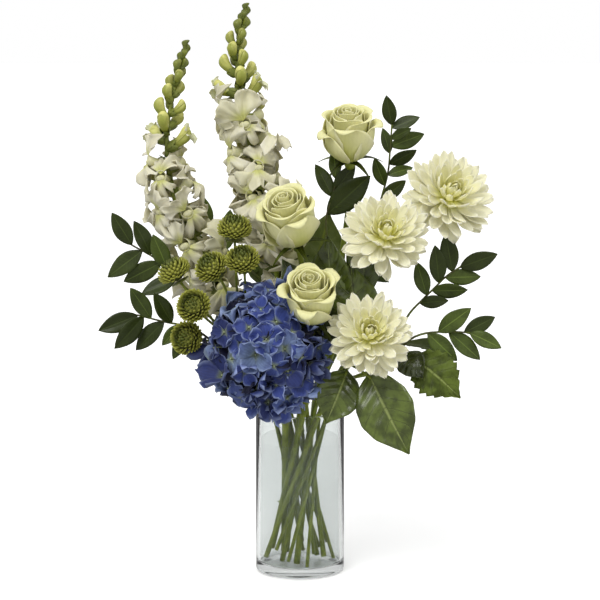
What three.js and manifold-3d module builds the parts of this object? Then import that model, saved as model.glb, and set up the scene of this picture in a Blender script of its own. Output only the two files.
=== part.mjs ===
// A florist's bouquet in a clear glass cylinder of water: one blue hydrangea head, three cream roses,
// three white chrysanthemums, two white snapdragon spikes, a spray of green button chrysanthemums,
// and dark huckleberry and salal foliage. Millimetres, +Z up, origin at the centre of the vase's foot.
// The front of the bouquet faces -Y.
import * as THREE from "three";
import { mergeVertices } from "three/addons/utils/BufferGeometryUtils.js";
import Module from "manifold-3d";

// ---- Driving dimensions -------------------------------------------------------------------------

const VASE = { radius: 50, height: 184, wall: 4, floor: 10, footRound: 4, sides: 32 };
const WATER = { top: 148, sides: 32 };
const CLEARANCE = 0.4; // between two pieces that touch
const TOLERANCE = 0.1; // how far a face may move when slivers are tidied away

// Every stem stands straight in the vase. The stems cross at a waist, as the rulings of two hyperboloids,
// one inside the other, so that no two of them meet.
const WAIST_HEIGHT = 105;
const RINGS = {
  outer: { waist: 17, slope: 0.385, first: 243, names: [
    "hydrangea", "rose_low", "mum_low", "salal_front", "salal_right", "huckleberry_right", "mum_right",
    "huckleberry_back", "salal_back", "huckleberry_left", "buttons"] },
  inner: { waist: 8.4, slope: 0.21, first: 30, names: [
    "rose_top", "huckleberry_top", "snapdragon_right", "snapdragon_left", "rose_left", "mum_middle"] },
};
const FOOT_LIFTS = [0, 9, 3, 16, 6]; // how high the cut ends stand off the vase's floor, in turn

// Each head: where its outline's centre is, the way it faces, its size beside the full-grown form,
// and its stem's radius.
const HYDRANGEA = { centre: [-36, -72, 266], radii: [65, 60, 74], florets: 32, floretRadius: 17, stemRadius: 4 };
const ROSES = {
  rose_left: { centre: [-11, -78, 406], facing: [-0.22, -0.56, 0.8], size: 0.98, stemRadius: 3.2 },
  rose_top: { centre: [54, -10, 494], facing: [-0.04, -0.42, 0.91], size: 0.92, stemRadius: 3.2 },
  rose_low: { centre: [11, -104, 325], facing: [-0.03, -0.62, 0.78], size: 0.9, stemRadius: 3.2 },
};
const MUMS = {
  mum_right: { centre: [165, -30, 430], facing: [0.3, -0.78, 0.55], size: 1.12, stemRadius: 3 },
  mum_middle: { centre: [92, -78, 392], facing: [0.08, -0.83, 0.55], size: 1.05, stemRadius: 3 },
  mum_low: { centre: [75, -104, 286], facing: [0.08, -0.86, 0.5], size: 1.02, stemRadius: 3 },
};
// A spike's route from the lowest flower to the tip, and where along it the flowers end.
const SNAPDRAGONS = {
  snapdragon_left: { route: [[-84, 6, 309], [-114, 4, 369], [-141, 4, 427], [-149, 8, 481], [-141, 14, 540],
    [-124, 20, 600]], flowersTo: 0.56, flowers: 13, buds: 14, stemRadius: 3 },
  snapdragon_right: { route: [[-30, 14, 359], [-43, 22, 419], [-55, 26, 475], [-66, 30, 531], [-71, 35, 587],
    [-58, 38, 641]], flowersTo: 0.58, flowers: 13, buds: 14, stemRadius: 3 },
};
const BUTTONS = [
  { centre: [-71, -60, 395], facing: [0, -0.3, 0.95] },
  { centre: [-96, -74, 354], facing: [-0.5, -0.45, 0.74] },
  { centre: [-62, -80, 363], facing: [-0.1, -0.5, 0.86] },
  { centre: [-137, -60, 348], facing: [-0.5, -0.1, 0.86] },
  { centre: [-115, -82, 313], facing: [-0.3, -0.8, 0.5] },
  { centre: [-124, -62, 275], facing: [-0.5, -0.83, 0.2] },
];
const BUTTON = { radius: 17.5, flatness: 0.72, stemRadius: 1.4 };
const BUTTON_FORK = [-66, -36, 262];

// Huckleberry: a woody stem to the fork, then twigs. Each leaf is given as its root's share of the twig,
// and its tip.
const HUCKLEBERRY = {
  huckleberry_left: { fork: [-78, -26, 246], facing: [0, -1, 0.15], twigs: [
    { route: [[-100, -22, 294], [-122, -20, 320], [-138, -20, 335], [-155, -20, 354], [-187, -20, 373]], leaves: [
      [1, -207, -30, 409], [0.86, -182, -21, 400], [0.72, -162, -30, 385], [0.92, -214, -19, 337],
      [0.78, -196, -21, 331], [0.64, -176, -28, 319]] },
    { route: [[-93, -32, 262], [-111, -32, 277], [-127, -32, 284], [-148, -32, 288], [-180, -32, 296]], leaves: [
      [0.87, -187, -37, 327], [1, -222, -42, 280], [0.94, -204, -45, 260], [0.75, -184, -30, 257],
      [0.68, -160, -45, 322], [0.6, -152, -43, 264], [0.5, -142, -37, 248], [0.22, -126, -34, 250]] }] },
  huckleberry_right: { fork: [104, -26, 252], facing: [0.1, -1, 0.1], twigs: [
    { route: [[120, -18, 293], [136, -18, 311], [150, -18, 325], [163, -18, 338], [178, -18, 348]], leaves: [
      [0.92, 161, -23, 386], [0.77, 150, -28, 372], [1, 218, -27, 363], [0.84, 201, -18, 337],
      [0.68, 185, -29, 322], [0.53, 164, -25, 311], [0.62, 130, -14, 353]] },
    { route: [[124, -38, 271], [137, -38, 276], [155, -38, 278], [172, -38, 278], [188, -38, 277]], leaves: [
      [0.64, 187, -48, 305], [0.93, 216, -36, 294], [1, 222, -47, 262], [0.76, 199, -44, 248],
      [0.52, 173, -47, 247]] }] },
  huckleberry_top: { fork: [40, 14, 320], facing: [0.05, -1, 0.1], twigs: [
    { route: [[81, 22, 379], [91, 22, 419], [99, 22, 451], [101, 22, 475], [103, 22, 504]], leaves: [
      [1, 96, 11, 536], [0.98, 134, 23, 513], [0.84, 93, 17, 500], [0.92, 124, 15, 500], [0.88, 140, 24, 493],
      [0.78, 130, 9, 475], [0.72, 127, 26, 457], [0.66, 83, 14, 466], [0.58, 119, 22, 441]] },
    { route: [[29, 6, 396], [32, 4, 412], [37, 4, 427], [40, 4, 445]], leaves: [
      [1, 38, 1, 478], [0.88, 61, 1, 460], [0.84, 18, -1, 461], [0.74, 63, 8, 436], [0.68, 78, -2, 448]] }] },
  huckleberry_back: { fork: [10, 58, 250], facing: [0, 0.95, 0.3], twigs: [
    { route: [[40, 82, 298], [74, 92, 336], [104, 94, 368], [126, 90, 398]], leaves: [
      [1, 138, 88, 432], [0.94, 158, 94, 404], [0.84, 102, 100, 414], [0.78, 136, 100, 362],
      [0.66, 76, 102, 380], [0.56, 104, 96, 320]] },
    { route: [[-24, 84, 300], [-60, 92, 334], [-92, 92, 362], [-116, 84, 384]], leaves: [
      [1, -144, 82, 404], [0.94, -114, 88, 420], [0.84, -136, 92, 362], [0.78, -82, 100, 402],
      [0.66, -100, 98, 326], [0.56, -46, 102, 374]] }] },
};
const LEAF_TWIG_RADIUS = 1.2;

// Salal: each large leaf runs from base to tip, facing the way given.
const SALAL = {
  salal_front: { top: [52, -58, 249], leaves: [
    { base: [74, -84, 239], tip: [117, -112, 156], facing: [-0.2, -1, 0.15], half: 32 },
    { base: [52, -74, 241], tip: [28, -92, 185], facing: [0.15, -1, 0.35], half: 25 },
    { base: [58, -56, 268], tip: [56, -54, 356], facing: [0.1, -1, 0.2], half: 31 },
    { base: [40, -50, 262], tip: [-20, -34, 358], facing: [-0.1, -1, 0.2], half: 29 },
    { base: [38, -50, 294], tip: [30, -52, 386], facing: [-0.2, -1, 0.2], half: 24 },
    { base: [68, -38, 316], tip: [74, -28, 410], facing: [0.2, -1, 0.2], half: 22 }] },
  salal_right: { top: [104, -34, 243], leaves: [
    { base: [124, -42, 251], tip: [176, -62, 209], facing: [0, -0.9, 0.45], half: 27 },
    { base: [112, -42, 255], tip: [134, -66, 231], facing: [0.2, -1, 0.1], half: 17 },
    { base: [112, -26, 265], tip: [158, 6, 243], facing: [0.4, 0.5, 0.75], half: 22 }] },
  salal_back: { top: [-4, 76, 296], leaves: [
    { base: [22, 88, 300], tip: [96, 116, 262], facing: [0.3, 0.8, 0.5], half: 31 },
    { base: [12, 86, 312], tip: [34, 104, 398], facing: [0.1, 1, 0.2], half: 31 },
    { base: [6, 88, 286], tip: [34, 124, 206], facing: [0.1, 1, 0.3], half: 31 },
    { base: [-18, 86, 286], tip: [-46, 120, 210], facing: [-0.1, 1, 0.3], half: 30 },
    { base: [-22, 84, 308], tip: [-52, 100, 388], facing: [-0.1, 1, 0.2], half: 30 },
    { base: [-30, 86, 298], tip: [-102, 110, 268], facing: [-0.3, 0.8, 0.5], half: 30 }] },
};

const COLOURS = {
  glass: [0xdfe8e6, 0.05], water: [0xeaf2f0, 0.05], hydrangea: [0x3a4fb4, 0.55], rose: [0xe9e8bd, 0.5],
  mum: [0xf3f3e2, 0.5], button: [0x93a83a, 0.6], snapdragon: [0xefefe6, 0.5], bud: [0xb7c66a, 0.55],
  stem: [0x5f7a30, 0.55], huckleberry: [0x27381b, 0.4], salal: [0x3f5c2a, 0.4],
};

// ---- Small tools --------------------------------------------------------------------------------

const wasm = await Module();
wasm.setup();

const vector = (p) => new THREE.Vector3(...p);
const radians = THREE.MathUtils.degToRad;
const GOLDEN_ANGLE = Math.PI * (3 - Math.sqrt(5));

// Seeded random numbers, from low to high.
function dice(seed) {
  let state = seed;
  return (low, high) => {
    state = (Math.imul(state, 1664525) + 1013904223) >>> 0;
    return low + ((high - low) * state) / 4294967296;
  };
}

// A placing matrix: local Z runs along `along`, and local Y is as near to `normal` as it can be.
function placing(origin, along, normal) {
  const z = along.clone().normalize();
  const x = new THREE.Vector3().crossVectors(normal, z);
  if (x.lengthSq() < 1e-6) x.crossVectors(new THREE.Vector3(0.3, 0.5, 0.8), z);
  x.normalize();
  const y = new THREE.Vector3().crossVectors(z, x);
  return new THREE.Matrix4().makeBasis(x, y, z).setPosition(origin);
}

// A closed skin over rings of points with equal counts. A ring of one point is a pointed end, and an end
// ring of more points is closed by a flat lid.
function skin(rings) {
  const points = [];
  const faces = [];
  const starts = rings.map((ring) => {
    const start = points.length;
    points.push(...ring);
    return start;
  });
  const lid = (start, n, turned) => {
    for (let i = 1; i + 1 < n; i++) {
      const face = [start, start + i, start + i + 1];
      faces.push(turned ? face.reverse() : face);
    }
  };
  for (let i = 0; i + 1 < rings.length; i++) {
    const below = rings[i].length;
    const above = rings[i + 1].length;
    const n = Math.max(below, above);
    for (let k = 0; k < n; k++) {
      const next = (k + 1) % n;
      const [a, b] = below > 1 ? [starts[i] + k, starts[i] + next] : [starts[i], starts[i]];
      const [c, d] = above > 1 ? [starts[i + 1] + k, starts[i + 1] + next] : [starts[i + 1], starts[i + 1]];
      if (below > 1) faces.push([a, b, c]);
      if (above > 1) faces.push([b, d, c]);
    }
  }
  const last = rings.length - 1;
  if (rings[0].length > 1) lid(starts[0], rings[0].length, true);
  if (rings[last].length > 1) lid(starts[last], rings[last].length, false);
  return new THREE.BufferGeometry().setFromPoints(points).setIndex(faces.flat());
}

// A thin blade in its own frame, Z along and Y its face's normal, over [along, half width, lift, edge lift].
// It is flat above and keeled below, and square-edged where it is grown.
function blade(place, outline, thickness, grow) {
  const rings = outline.map(([along, half, lift, edgeLift], i) => {
    if (!half && !grow) return [new THREE.Vector3(0, lift, along)];
    const end = along + (i === 0 ? -grow : i === outline.length - 1 ? grow : 0);
    const point = (x, y) => new THREE.Vector3(x, y, end);
    const w = half + grow;
    const keel = lift - (half ? thickness : 0) - grow;
    const edge = lift + edgeLift;
    return grow
      ? [point(-w, edge - grow), point(0, keel), point(w, edge - grow), point(w, edge + grow), point(-w, edge + grow)]
      : [point(-w, edge), point(0, keel), point(w, edge)];
  });
  return skin(rings).applyMatrix4(place);
}

// A dish of lobes round two apexes, one under and one over it. Each lobe is a notch and two shoulders,
// sharp at its edge and `thickness` deep at its notches.
function lobedDish(lobes, under, over, thickness, grow) {
  const rim = lobes.flat();
  const n = rim.length;
  const lowered = rim.map((p, i) => p.clone().setZ(p.z - grow - (i % 3 ? 0 : thickness)));
  const points = [under, over, ...lowered, ...rim.map((p) => p.clone().setZ(p.z + grow))];
  const faces = [];
  const low = (i) => 2 + (i % n);
  const high = (i) => 2 + n + (i % n);
  for (let i = 0; i < n; i += 3) {
    faces.push([1, high(i), high(i + 3)], [high(i), high(i + 1), high(i + 2)], [high(i), high(i + 2), high(i + 3)]);
    faces.push([0, low(i + 3), low(i)], [low(i), low(i + 2), low(i + 1)], [low(i), low(i + 3), low(i + 2)]);
    for (let k = i; k < i + 3; k++)
      faces.push([low(k), low(k + 1), high(k + 1)], [low(k), high(k + 1), high(k)]);
  }
  const whole = new THREE.BufferGeometry().setFromPoints(points).setIndex(faces.flat());
  return mergeVertices(whole);
}

// A round rod along a curve.
function rod(curve, radius, grow, sides = 6, spacing = 36) {
  const section = new THREE.Shape(
    Array.from({ length: sides }, (_, i) => {
      const a = (2 * Math.PI * (i + 0.5)) / sides;
      return new THREE.Vector2((radius + grow) * Math.cos(a), (radius + grow) * Math.sin(a));
    }),
  );
  const steps = Math.max(2, Math.round(curve.getLength() / spacing));
  return new THREE.ExtrudeGeometry(section, { steps, extrudePath: curve, bevelEnabled: false });
}

// A ball with its own radii, its poles on its local Z.
function ball(place, radii, grow, around = 6, down = 4) {
  return new THREE.SphereGeometry(1, around, down)
    .rotateX(Math.PI / 2)
    .scale(radii[0] + grow, radii[1] + grow, radii[2] + grow)
    .applyMatrix4(place);
}

function solid(geometry) {
  const bare = geometry.clone();
  bare.deleteAttribute("normal");
  bare.deleteAttribute("uv");
  const merged = mergeVertices(bare, 1e-4);
  const triVerts = new Uint32Array(merged.index.array);
  const make = () => new wasm.Manifold(
    new wasm.Mesh({ numProp: 3, vertProperties: merged.attributes.position.array, triVerts }),
  );
  const made = make();
  if (made.volume() > 0) return made;
  for (let i = 0; i < triVerts.length; i += 3)
    [triVerts[i + 1], triVerts[i + 2]] = [triVerts[i + 2], triVerts[i + 1]];
  return make();
}

const joined = (geometries) => wasm.Manifold.union(geometries.map(solid));

function largest(made) {
  return made.decompose().sort((a, b) => b.volume() - a.volume())[0];
}

// ---- Assembly -----------------------------------------------------------------------------------

const bouquet = new THREE.Group();
const placed = []; // what is in place so far, each with the grown form that others keep clear of

function near(a, b) {
  return [0, 1, 2].every((i) => a.min[i] < b.max[i] && b.min[i] < a.max[i]);
}

// Adds one named piece. make(grow) gives its geometries, each grown outwards by that much.
function add(name, colour, make) {
  let made = joined(make(0));
  for (const other of placed) if (near(other.box, made.boundingBox())) made = made.subtract(other.grown);
  made = largest(made.simplify(TOLERANCE));
  const grown = joined(make(CLEARANCE));
  placed.push({ grown, box: grown.boundingBox() });
  const { vertProperties, triVerts } = made.getMesh();
  const geometry = new THREE.BufferGeometry()
    .setAttribute("position", new THREE.BufferAttribute(vertProperties, 3))
    .setIndex(new THREE.BufferAttribute(triVerts, 1));
  const [color, roughness] = COLOURS[colour];
  const mesh = new THREE.Mesh(geometry, new THREE.MeshStandardMaterial({ color, roughness, metalness: 0 }));
  mesh.name = name;
  bouquet.add(mesh);
}

// ---- Stems --------------------------------------------------------------------------------------

// A stem: straight through the vase, then bending to arrive at `end` along `arrival`.
class StemCurve extends THREE.Curve {
  constructor(name, radius, end, arrival) {
    super();
    const ring = Object.values(RINGS).find((r) => r.names.includes(name));
    const azimuth = radians(ring.first + (360 * ring.names.indexOf(name)) / ring.names.length);
    const turn = azimuth - Math.atan((ring.slope * (VASE.height - WAIST_HEIGHT)) / ring.waist);
    const at = (z) => new THREE.Vector3(
      ring.waist * Math.cos(turn) - ring.slope * (z - WAIST_HEIGHT) * Math.sin(turn),
      ring.waist * Math.sin(turn) + ring.slope * (z - WAIST_HEIGHT) * Math.cos(turn),
      z,
    );
    const lift = FOOT_LIFTS[ring.names.indexOf(name) % FOOT_LIFTS.length];
    const foot = at(VASE.floor + CLEARANCE + radius * ring.slope + lift);
    const neck = at(VASE.height + 4);
    const rise = neck.clone().sub(foot).normalize();
    const reach = neck.distanceTo(end) * 0.38;
    this.straight = new THREE.LineCurve3(foot, neck);
    this.bend = new THREE.CubicBezierCurve3(
      neck, neck.clone().addScaledVector(rise, reach),
      end.clone().addScaledVector(arrival.clone().normalize(), -reach), end,
    );
    this.share = foot.distanceTo(neck) / (foot.distanceTo(neck) + this.bend.getLength());
  }

  getPoint(t, target = new THREE.Vector3()) {
    return t < this.share
      ? this.straight.getPoint(t / this.share, target)
      : this.bend.getPoint((t - this.share) / (1 - this.share), target);
  }
}

// A point a little way down inside a stem that arrives at `end`.
const within = (end, arrival) => end.clone().addScaledVector(arrival.clone().normalize(), -4);
const through = (points) => new THREE.CatmullRomCurve3(points.map((p) => (p.isVector3 ? p : vector(p))));

// ---- Vase and water -----------------------------------------------------------------------------

function vaseGeometry() {
  const { radius, height, wall, floor, footRound, sides } = VASE;
  const profile = [
    new THREE.Vector2(0, 0),
    new THREE.Vector2(radius - footRound, 0),
    new THREE.Vector2(radius - footRound * 0.3, footRound * 0.3),
    new THREE.Vector2(radius, footRound),
    new THREE.Vector2(radius, height),
    new THREE.Vector2(radius - wall, height),
    new THREE.Vector2(radius - wall, floor),
    new THREE.Vector2(0, floor),
  ];
  return new THREE.LatheGeometry(profile, sides).rotateX(Math.PI / 2);
}

function waterGeometry() {
  const radius = VASE.radius - VASE.wall - CLEARANCE;
  const bottom = VASE.floor + CLEARANCE;
  const profile = [
    new THREE.Vector2(0, bottom),
    new THREE.Vector2(radius, bottom),
    new THREE.Vector2(radius, WATER.top),
    new THREE.Vector2(0, WATER.top),
  ];
  return new THREE.LatheGeometry(profile, WATER.sides).rotateX(Math.PI / 2);
}

// ---- Hydrangea ----------------------------------------------------------------------------------

const SEPAL_THICKNESS = 1.6;

// One floret: four broad sepals in a shallow dish, over a stalk that runs down to a point.
function hydrangeaFloret(place, radius, depth, grow) {
  const lobes = [0, 1, 2, 3].map((lobe) =>
    [[0, 0.58, 0], [0.26, 0.98, 0.1], [0.74, 0.98, 0.1]].map(([turn, reach, lift]) => {
      const a = ((lobe + turn) * Math.PI) / 2;
      const r = radius * reach + grow;
      return new THREE.Vector3(r * Math.cos(a), r * Math.sin(a), radius * lift);
    }));
  const under = new THREE.Vector3(0, 0, -depth);
  const over = new THREE.Vector3(0, 0, grow - 0.06 * radius);
  return lobedDish(lobes, under, over, SEPAL_THICKNESS, grow).applyMatrix4(place);
}

function hydrangeaHead(grow) {
  const { centre, radii, florets, floretRadius } = HYDRANGEA;
  const roll = dice(7);
  const core = ball(new THREE.Matrix4().setPosition(...centre), radii.map((r) => r * 0.84), grow, 10, 7);
  const made = [core];
  for (let i = 0; i < florets; i++) {
    const height = 1 - (2 * (i + 0.5)) / florets;
    const around = i * GOLDEN_ANGLE;
    const flat = Math.sqrt(1 - height * height);
    const out = new THREE.Vector3(flat * Math.cos(around), flat * Math.sin(around), height);
    const seat = out.clone().multiply(vector(radii)).multiplyScalar(roll(0.88, 0.98)).add(vector(centre));
    const normal = out.clone().divide(vector(radii)).normalize();
    normal.add(new THREE.Vector3(roll(-0.18, 0.18), roll(-0.18, 0.18), roll(-0.18, 0.18)));
    const place = placing(seat, normal, new THREE.Vector3(roll(-1, 1), roll(-1, 1), roll(-1, 1)));
    made.push(hydrangeaFloret(place, floretRadius * roll(0.92, 1.06), 14, grow));
  }
  return made;
}

// ---- Rose ---------------------------------------------------------------------------------------

// Petal layers from the outside in: the radius and height of a petal's lip, how far its lip drops where
// two petals meet, and the radius and height of the fold inside it.
const ROSE_LAYERS = [
  { lip: [41, 47], drop: 9, fold: [32, 39] },
  { lip: [34, 59], drop: 8, fold: [25, 49] },
  { lip: [24, 67], drop: 6, fold: [16, 58] },
  { lip: [14, 71], drop: 4, fold: [7, 63] },
];
const ROSE_FOOT = [[10, 3], [32, 17]];
const ROSE_PETALS = 5;
// A petal's lip round the bloom: share of the way round it, share of the lip's radius, and of its drop.
const ROSE_LIP = [[0, 0.93, 1], [0.28, 1.02, 0.2], [0.52, 1.05, 0], [0.76, 1.02, 0.25]];

function roseBloom({ centre, facing, size }, grow) {
  const axis = vector(facing).normalize();
  const base = vector(centre).addScaledVector(axis, -36 * size);
  const place = placing(base, axis, new THREE.Vector3(0, 0, 1)).scale(new THREE.Vector3(size, size, size));
  const ring = (r, z, turn, drop = 0) => Array.from({ length: ROSE_PETALS }, (_, petal) =>
    ROSE_LIP.map(([share, out, fall]) => {
      const a = (2 * Math.PI * (petal + share + turn)) / ROSE_PETALS;
      const reach = r * (drop ? out : 1);
      return new THREE.Vector3(reach * Math.cos(a), reach * Math.sin(a), z - drop * fall);
    })).flat();
  const rings = [[new THREE.Vector3(0, 0, -grow)]];
  for (const [r, z] of ROSE_FOOT) rings.push(ring(r + grow, z - grow, 0));
  if (grow) {
    const [outer] = ROSE_LAYERS;
    rings.push(ring(outer.lip[0] * 1.05 + grow, outer.lip[1] + grow, 0));
    rings.push([new THREE.Vector3(0, 0, 73)]);
  } else {
    ROSE_LAYERS.forEach(({ lip, drop, fold }, i) => {
      rings.push(ring(...lip, i * 0.5, drop), ring(...fold, i * 0.5 + 0.25));
    });
    rings.push([new THREE.Vector3(0, 0, 69)]);
  }
  return [skin(rings).applyMatrix4(place)];
}

// The green stem with the swollen hip and five sepals under the bloom.
function roseStem(name, { centre, facing, size, stemRadius }, grow) {
  const axis = vector(facing).normalize();
  const base = vector(centre).addScaledVector(axis, -37 * size);
  const hip = placing(base.clone().addScaledVector(axis, -3), axis, new THREE.Vector3(0, 0, 1));
  const made = [rod(new StemCurve(name, stemRadius, base, axis), stemRadius, grow), ball(hip, [6, 6, 6.5], grow)];
  for (let i = 0; i < 5; i++) {
    const around = radians(20 + 72 * i);
    const out = new THREE.Vector3(Math.cos(around), Math.sin(around), 0.12).transformDirection(hip);
    const root = base.clone().addScaledVector(out, 3);
    const outline = [[0, 0, 0, 0], [14, 3.4, -1, 0], [33, 0, -9, 0]];
    made.push(blade(placing(root, out, axis), outline, 1.4, grow));
  }
  return made;
}

// ---- Chrysanthemum ------------------------------------------------------------------------------

// Ray florets in layers: how many, the angle from the bloom's axis, and their reach.
const MUM_LAYERS = [
  { count: 13, tilt: 102, reach: 46 },
  { count: 13, tilt: 80, reach: 48 },
  { count: 11, tilt: 57, reach: 41 },
  { count: 8, tilt: 32, reach: 33 },
];
const MUM_CORE = [11, 11, 12];
const RAY_THICKNESS = 2.2;

// One layer of rays, joined at their roots, each with a blunt tip.
function mumLayer({ count, tilt, reach }, turn, roll, grow) {
  const lobes = Array.from({ length: count }, (_, ray) => {
    const lean = radians(tilt + roll(-5, 5));
    const long = roll(0.93, 1.05);
    return [[0, 0.55, 0.05], [0.22, long, 0], [0.78, long, 0]].map(([share, out, lift]) => {
      const around = (2 * Math.PI * (ray + turn + share)) / count;
      const r = reach * out + grow;
      return new THREE.Vector3(
        r * Math.sin(lean) * Math.cos(around), r * Math.sin(lean) * Math.sin(around),
        r * Math.cos(lean) + reach * lift);
    });
  });
  return lobedDish(lobes, new THREE.Vector3(0, 0, -3 - grow), new THREE.Vector3(0, 0, 2 + grow), RAY_THICKNESS, grow);
}

function mumBloom({ centre, facing, size }, grow) {
  const axis = vector(facing).normalize();
  const base = vector(centre).addScaledVector(axis, -6 * size);
  const place = placing(base, axis, new THREE.Vector3(0, 0, 1)).scale(new THREE.Vector3(size, size, size));
  const roll = dice(11);
  const layers = MUM_LAYERS.map((layer, i) => mumLayer(layer, i / 2, roll, grow));
  return [ball(new THREE.Matrix4(), MUM_CORE, grow, 8, 6), ...layers].map((g) => g.applyMatrix4(place));
}

// The stem with the green cup of bracts that holds the rays.
function mumStem(name, { centre, facing, size, stemRadius }, grow) {
  const axis = vector(facing).normalize();
  const top = vector(centre).addScaledVector(axis, -13 * size);
  const cup = placing(top, axis, new THREE.Vector3(0, 0, 1));
  return [rod(new StemCurve(name, stemRadius, top, axis), stemRadius, grow), ball(cup, [9, 9, 4.5], grow)];
}

// ---- Snapdragon ---------------------------------------------------------------------------------

const SPIKE_CORE = 6; // radius of the packed flower tubes round the spike
const BUD_CORE = 2.4;
const LOBE_THICKNESS = 1.8;

// One flower: a tube from a pointed root to a mouth of five lobes, two up and three down.
function snapdragonFlower(place, length, radius, grow) {
  const lobes = [0, 1, 2, 3, 4].map((lobe) =>
    [[0, 0.6, 0], [0.26, 0.98, -0.1], [0.74, 0.98, -0.1]].map(([turn, reach, lift]) => {
      const a = ((lobe + turn) * 2 * Math.PI) / 5 + Math.PI / 2;
      const r = radius * reach + grow;
      return new THREE.Vector3(r * Math.cos(a), r * Math.sin(a), length + radius * lift);
    }));
  const throat = new THREE.Vector3(0, 0, length - 0.4 * radius + grow);
  return lobedDish(lobes, new THREE.Vector3(0, 0, -grow), throat, LOBE_THICKNESS, grow).applyMatrix4(place);
}

// Places round a spike, from share `from` to share `to` of its route: a seat, the way out and its place.
function roundSpike(curve, from, to, count, lean, seed) {
  const roll = dice(seed);
  return Array.from({ length: count }, (_, i) => {
    const share = from + ((to - from) * (i + 0.5)) / count;
    const seat = curve.getPointAt(share);
    const up = curve.getTangentAt(share);
    const frame = placing(seat, up, new THREE.Vector3(0, 1, 0));
    const around = i * GOLDEN_ANGLE + roll(-0.3, 0.3);
    const out = new THREE.Vector3(Math.cos(around), Math.sin(around), lean + roll(-0.15, 0.15));
    return { up, place: placing(seat, out.transformDirection(frame), up), rank: i / count };
  });
}

// The route is cut into an open-flower length and a bud length, each a curve of its own.
function spikeParts({ route, flowersTo }) {
  const whole = through(route);
  const cut = (from, to) => through([0, 1, 2, 3, 4].map((i) => whole.getPointAt(from + ((to - from) * i) / 4)));
  const gap = CLEARANCE / whole.getLength();
  return { flowers: cut(0, flowersTo), buds: cut(flowersTo + gap, 0.98) };
}

function snapdragonFlowers(spike, seed, grow) {
  const curve = spikeParts(spike).flowers;
  const places = roundSpike(curve, 0.02, 0.98, spike.flowers, 0.4, seed);
  return [rod(curve, SPIKE_CORE, grow, 6, 40), ...places.map(({ place, rank }) =>
    snapdragonFlower(place, 34 - 7 * rank, 22 - 5 * rank, grow))];
}

// A plump bud, widest nearer its tip.
function snapdragonBud(place, length, radius, grow) {
  const belly = Array.from({ length: 5 }, (_, i) => {
    const a = (2 * Math.PI * i) / 5;
    return new THREE.Vector3((radius + grow) * Math.cos(a), (radius + grow) * Math.sin(a), 0.62 * length);
  });
  const ends = [new THREE.Vector3(0, 0, -grow), new THREE.Vector3(0, 0, length + 2 * grow)];
  return skin([[ends[0]], belly, [ends[1]]]).applyMatrix4(place);
}

function snapdragonBuds(spike, seed, grow) {
  const curve = spikeParts(spike).buds;
  const places = roundSpike(curve, 0.02, 1, spike.buds, 1, seed);
  return [rod(curve, BUD_CORE, grow, 6, 40), ...places.map(({ place, rank }) =>
    snapdragonBud(place, 34 - 23 * rank, 9.6 - 6 * rank, grow))];
}

function snapdragonStem(name, spike, grow) {
  const curve = spikeParts(spike).flowers;
  const start = curve.getPointAt(0);
  const up = curve.getTangentAt(0);
  const top = start.clone().addScaledVector(up, -CLEARANCE);
  const made = [rod(new StemCurve(name, spike.stemRadius, top, up), spike.stemRadius, grow)];
  for (let i = 0; i < 4; i++) {
    const around = 1 + i * GOLDEN_ANGLE;
    const root = top.clone().addScaledVector(up, -10 - 9 * i);
    const out = new THREE.Vector3(Math.cos(around), Math.sin(around), 0.6).transformDirection(placing(root, up, vector([0, 1, 0])));
    made.push(blade(placing(root, out, up), [[0, 0, 0, 0], [20, 3.8, -1, 0.6], [46, 0, -8, 0]], 1.4, grow));
  }
  return made;
}

// ---- Button chrysanthemums ----------------------------------------------------------------------

// A pompon: rows of blunt florets, each vertex in turn out or in, on a slightly flat ball.
function buttonHead({ centre, facing }, grow) {
  const axis = vector(facing).normalize();
  const place = placing(vector(centre).addScaledVector(axis, -2), axis, new THREE.Vector3(0, 0, 1));
  const rows = 6;
  const around = 10;
  const rings = [];
  for (let row = 0; row <= rows; row++) {
    const down = Math.PI * (1 - row / rows);
    const ends = row === 0 || row === rows;
    rings.push(Array.from({ length: ends ? 1 : around }, (_, i) => {
      const a = (2 * Math.PI * (i + (row % 2) / 2)) / around;
      const r = BUTTON.radius * (ends || (i + row) % 2 ? 1 : 0.86) + grow;
      return new THREE.Vector3(
        r * Math.sin(down) * Math.cos(a), r * Math.sin(down) * Math.sin(a), BUTTON.flatness * r * Math.cos(down));
    }));
  }
  return [skin(rings).applyMatrix4(place)];
}

// One stem to the fork, and a stalk for each head.
function buttonStems(grow) {
  const fork = vector(BUTTON_FORK);
  const arrival = new THREE.Vector3(-0.55, -0.3, 0.8);
  const made = [rod(new StemCurve("buttons", 2.1, fork, arrival), 2.1, grow)];
  const start = within(fork, arrival);
  for (const { centre, facing } of BUTTONS) {
    const axis = vector(facing).normalize();
    const top = vector(centre).addScaledVector(axis, -2 - BUTTON.radius * BUTTON.flatness);
    const reach = fork.distanceTo(top) * 0.35;
    const stalk = new THREE.CubicBezierCurve3(
      start, fork.clone().lerp(top, 0.3), top.clone().addScaledVector(axis, -reach), top);
    made.push(rod(stalk, BUTTON.stemRadius, grow, 4, 36));
  }
  return made;
}

// ---- Foliage ------------------------------------------------------------------------------------

const LEAF_SHAPE = [[0, 0], [0.3, 0.21], [0.64, 0.23], [1, 0]]; // share of the length, half width by length

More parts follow.
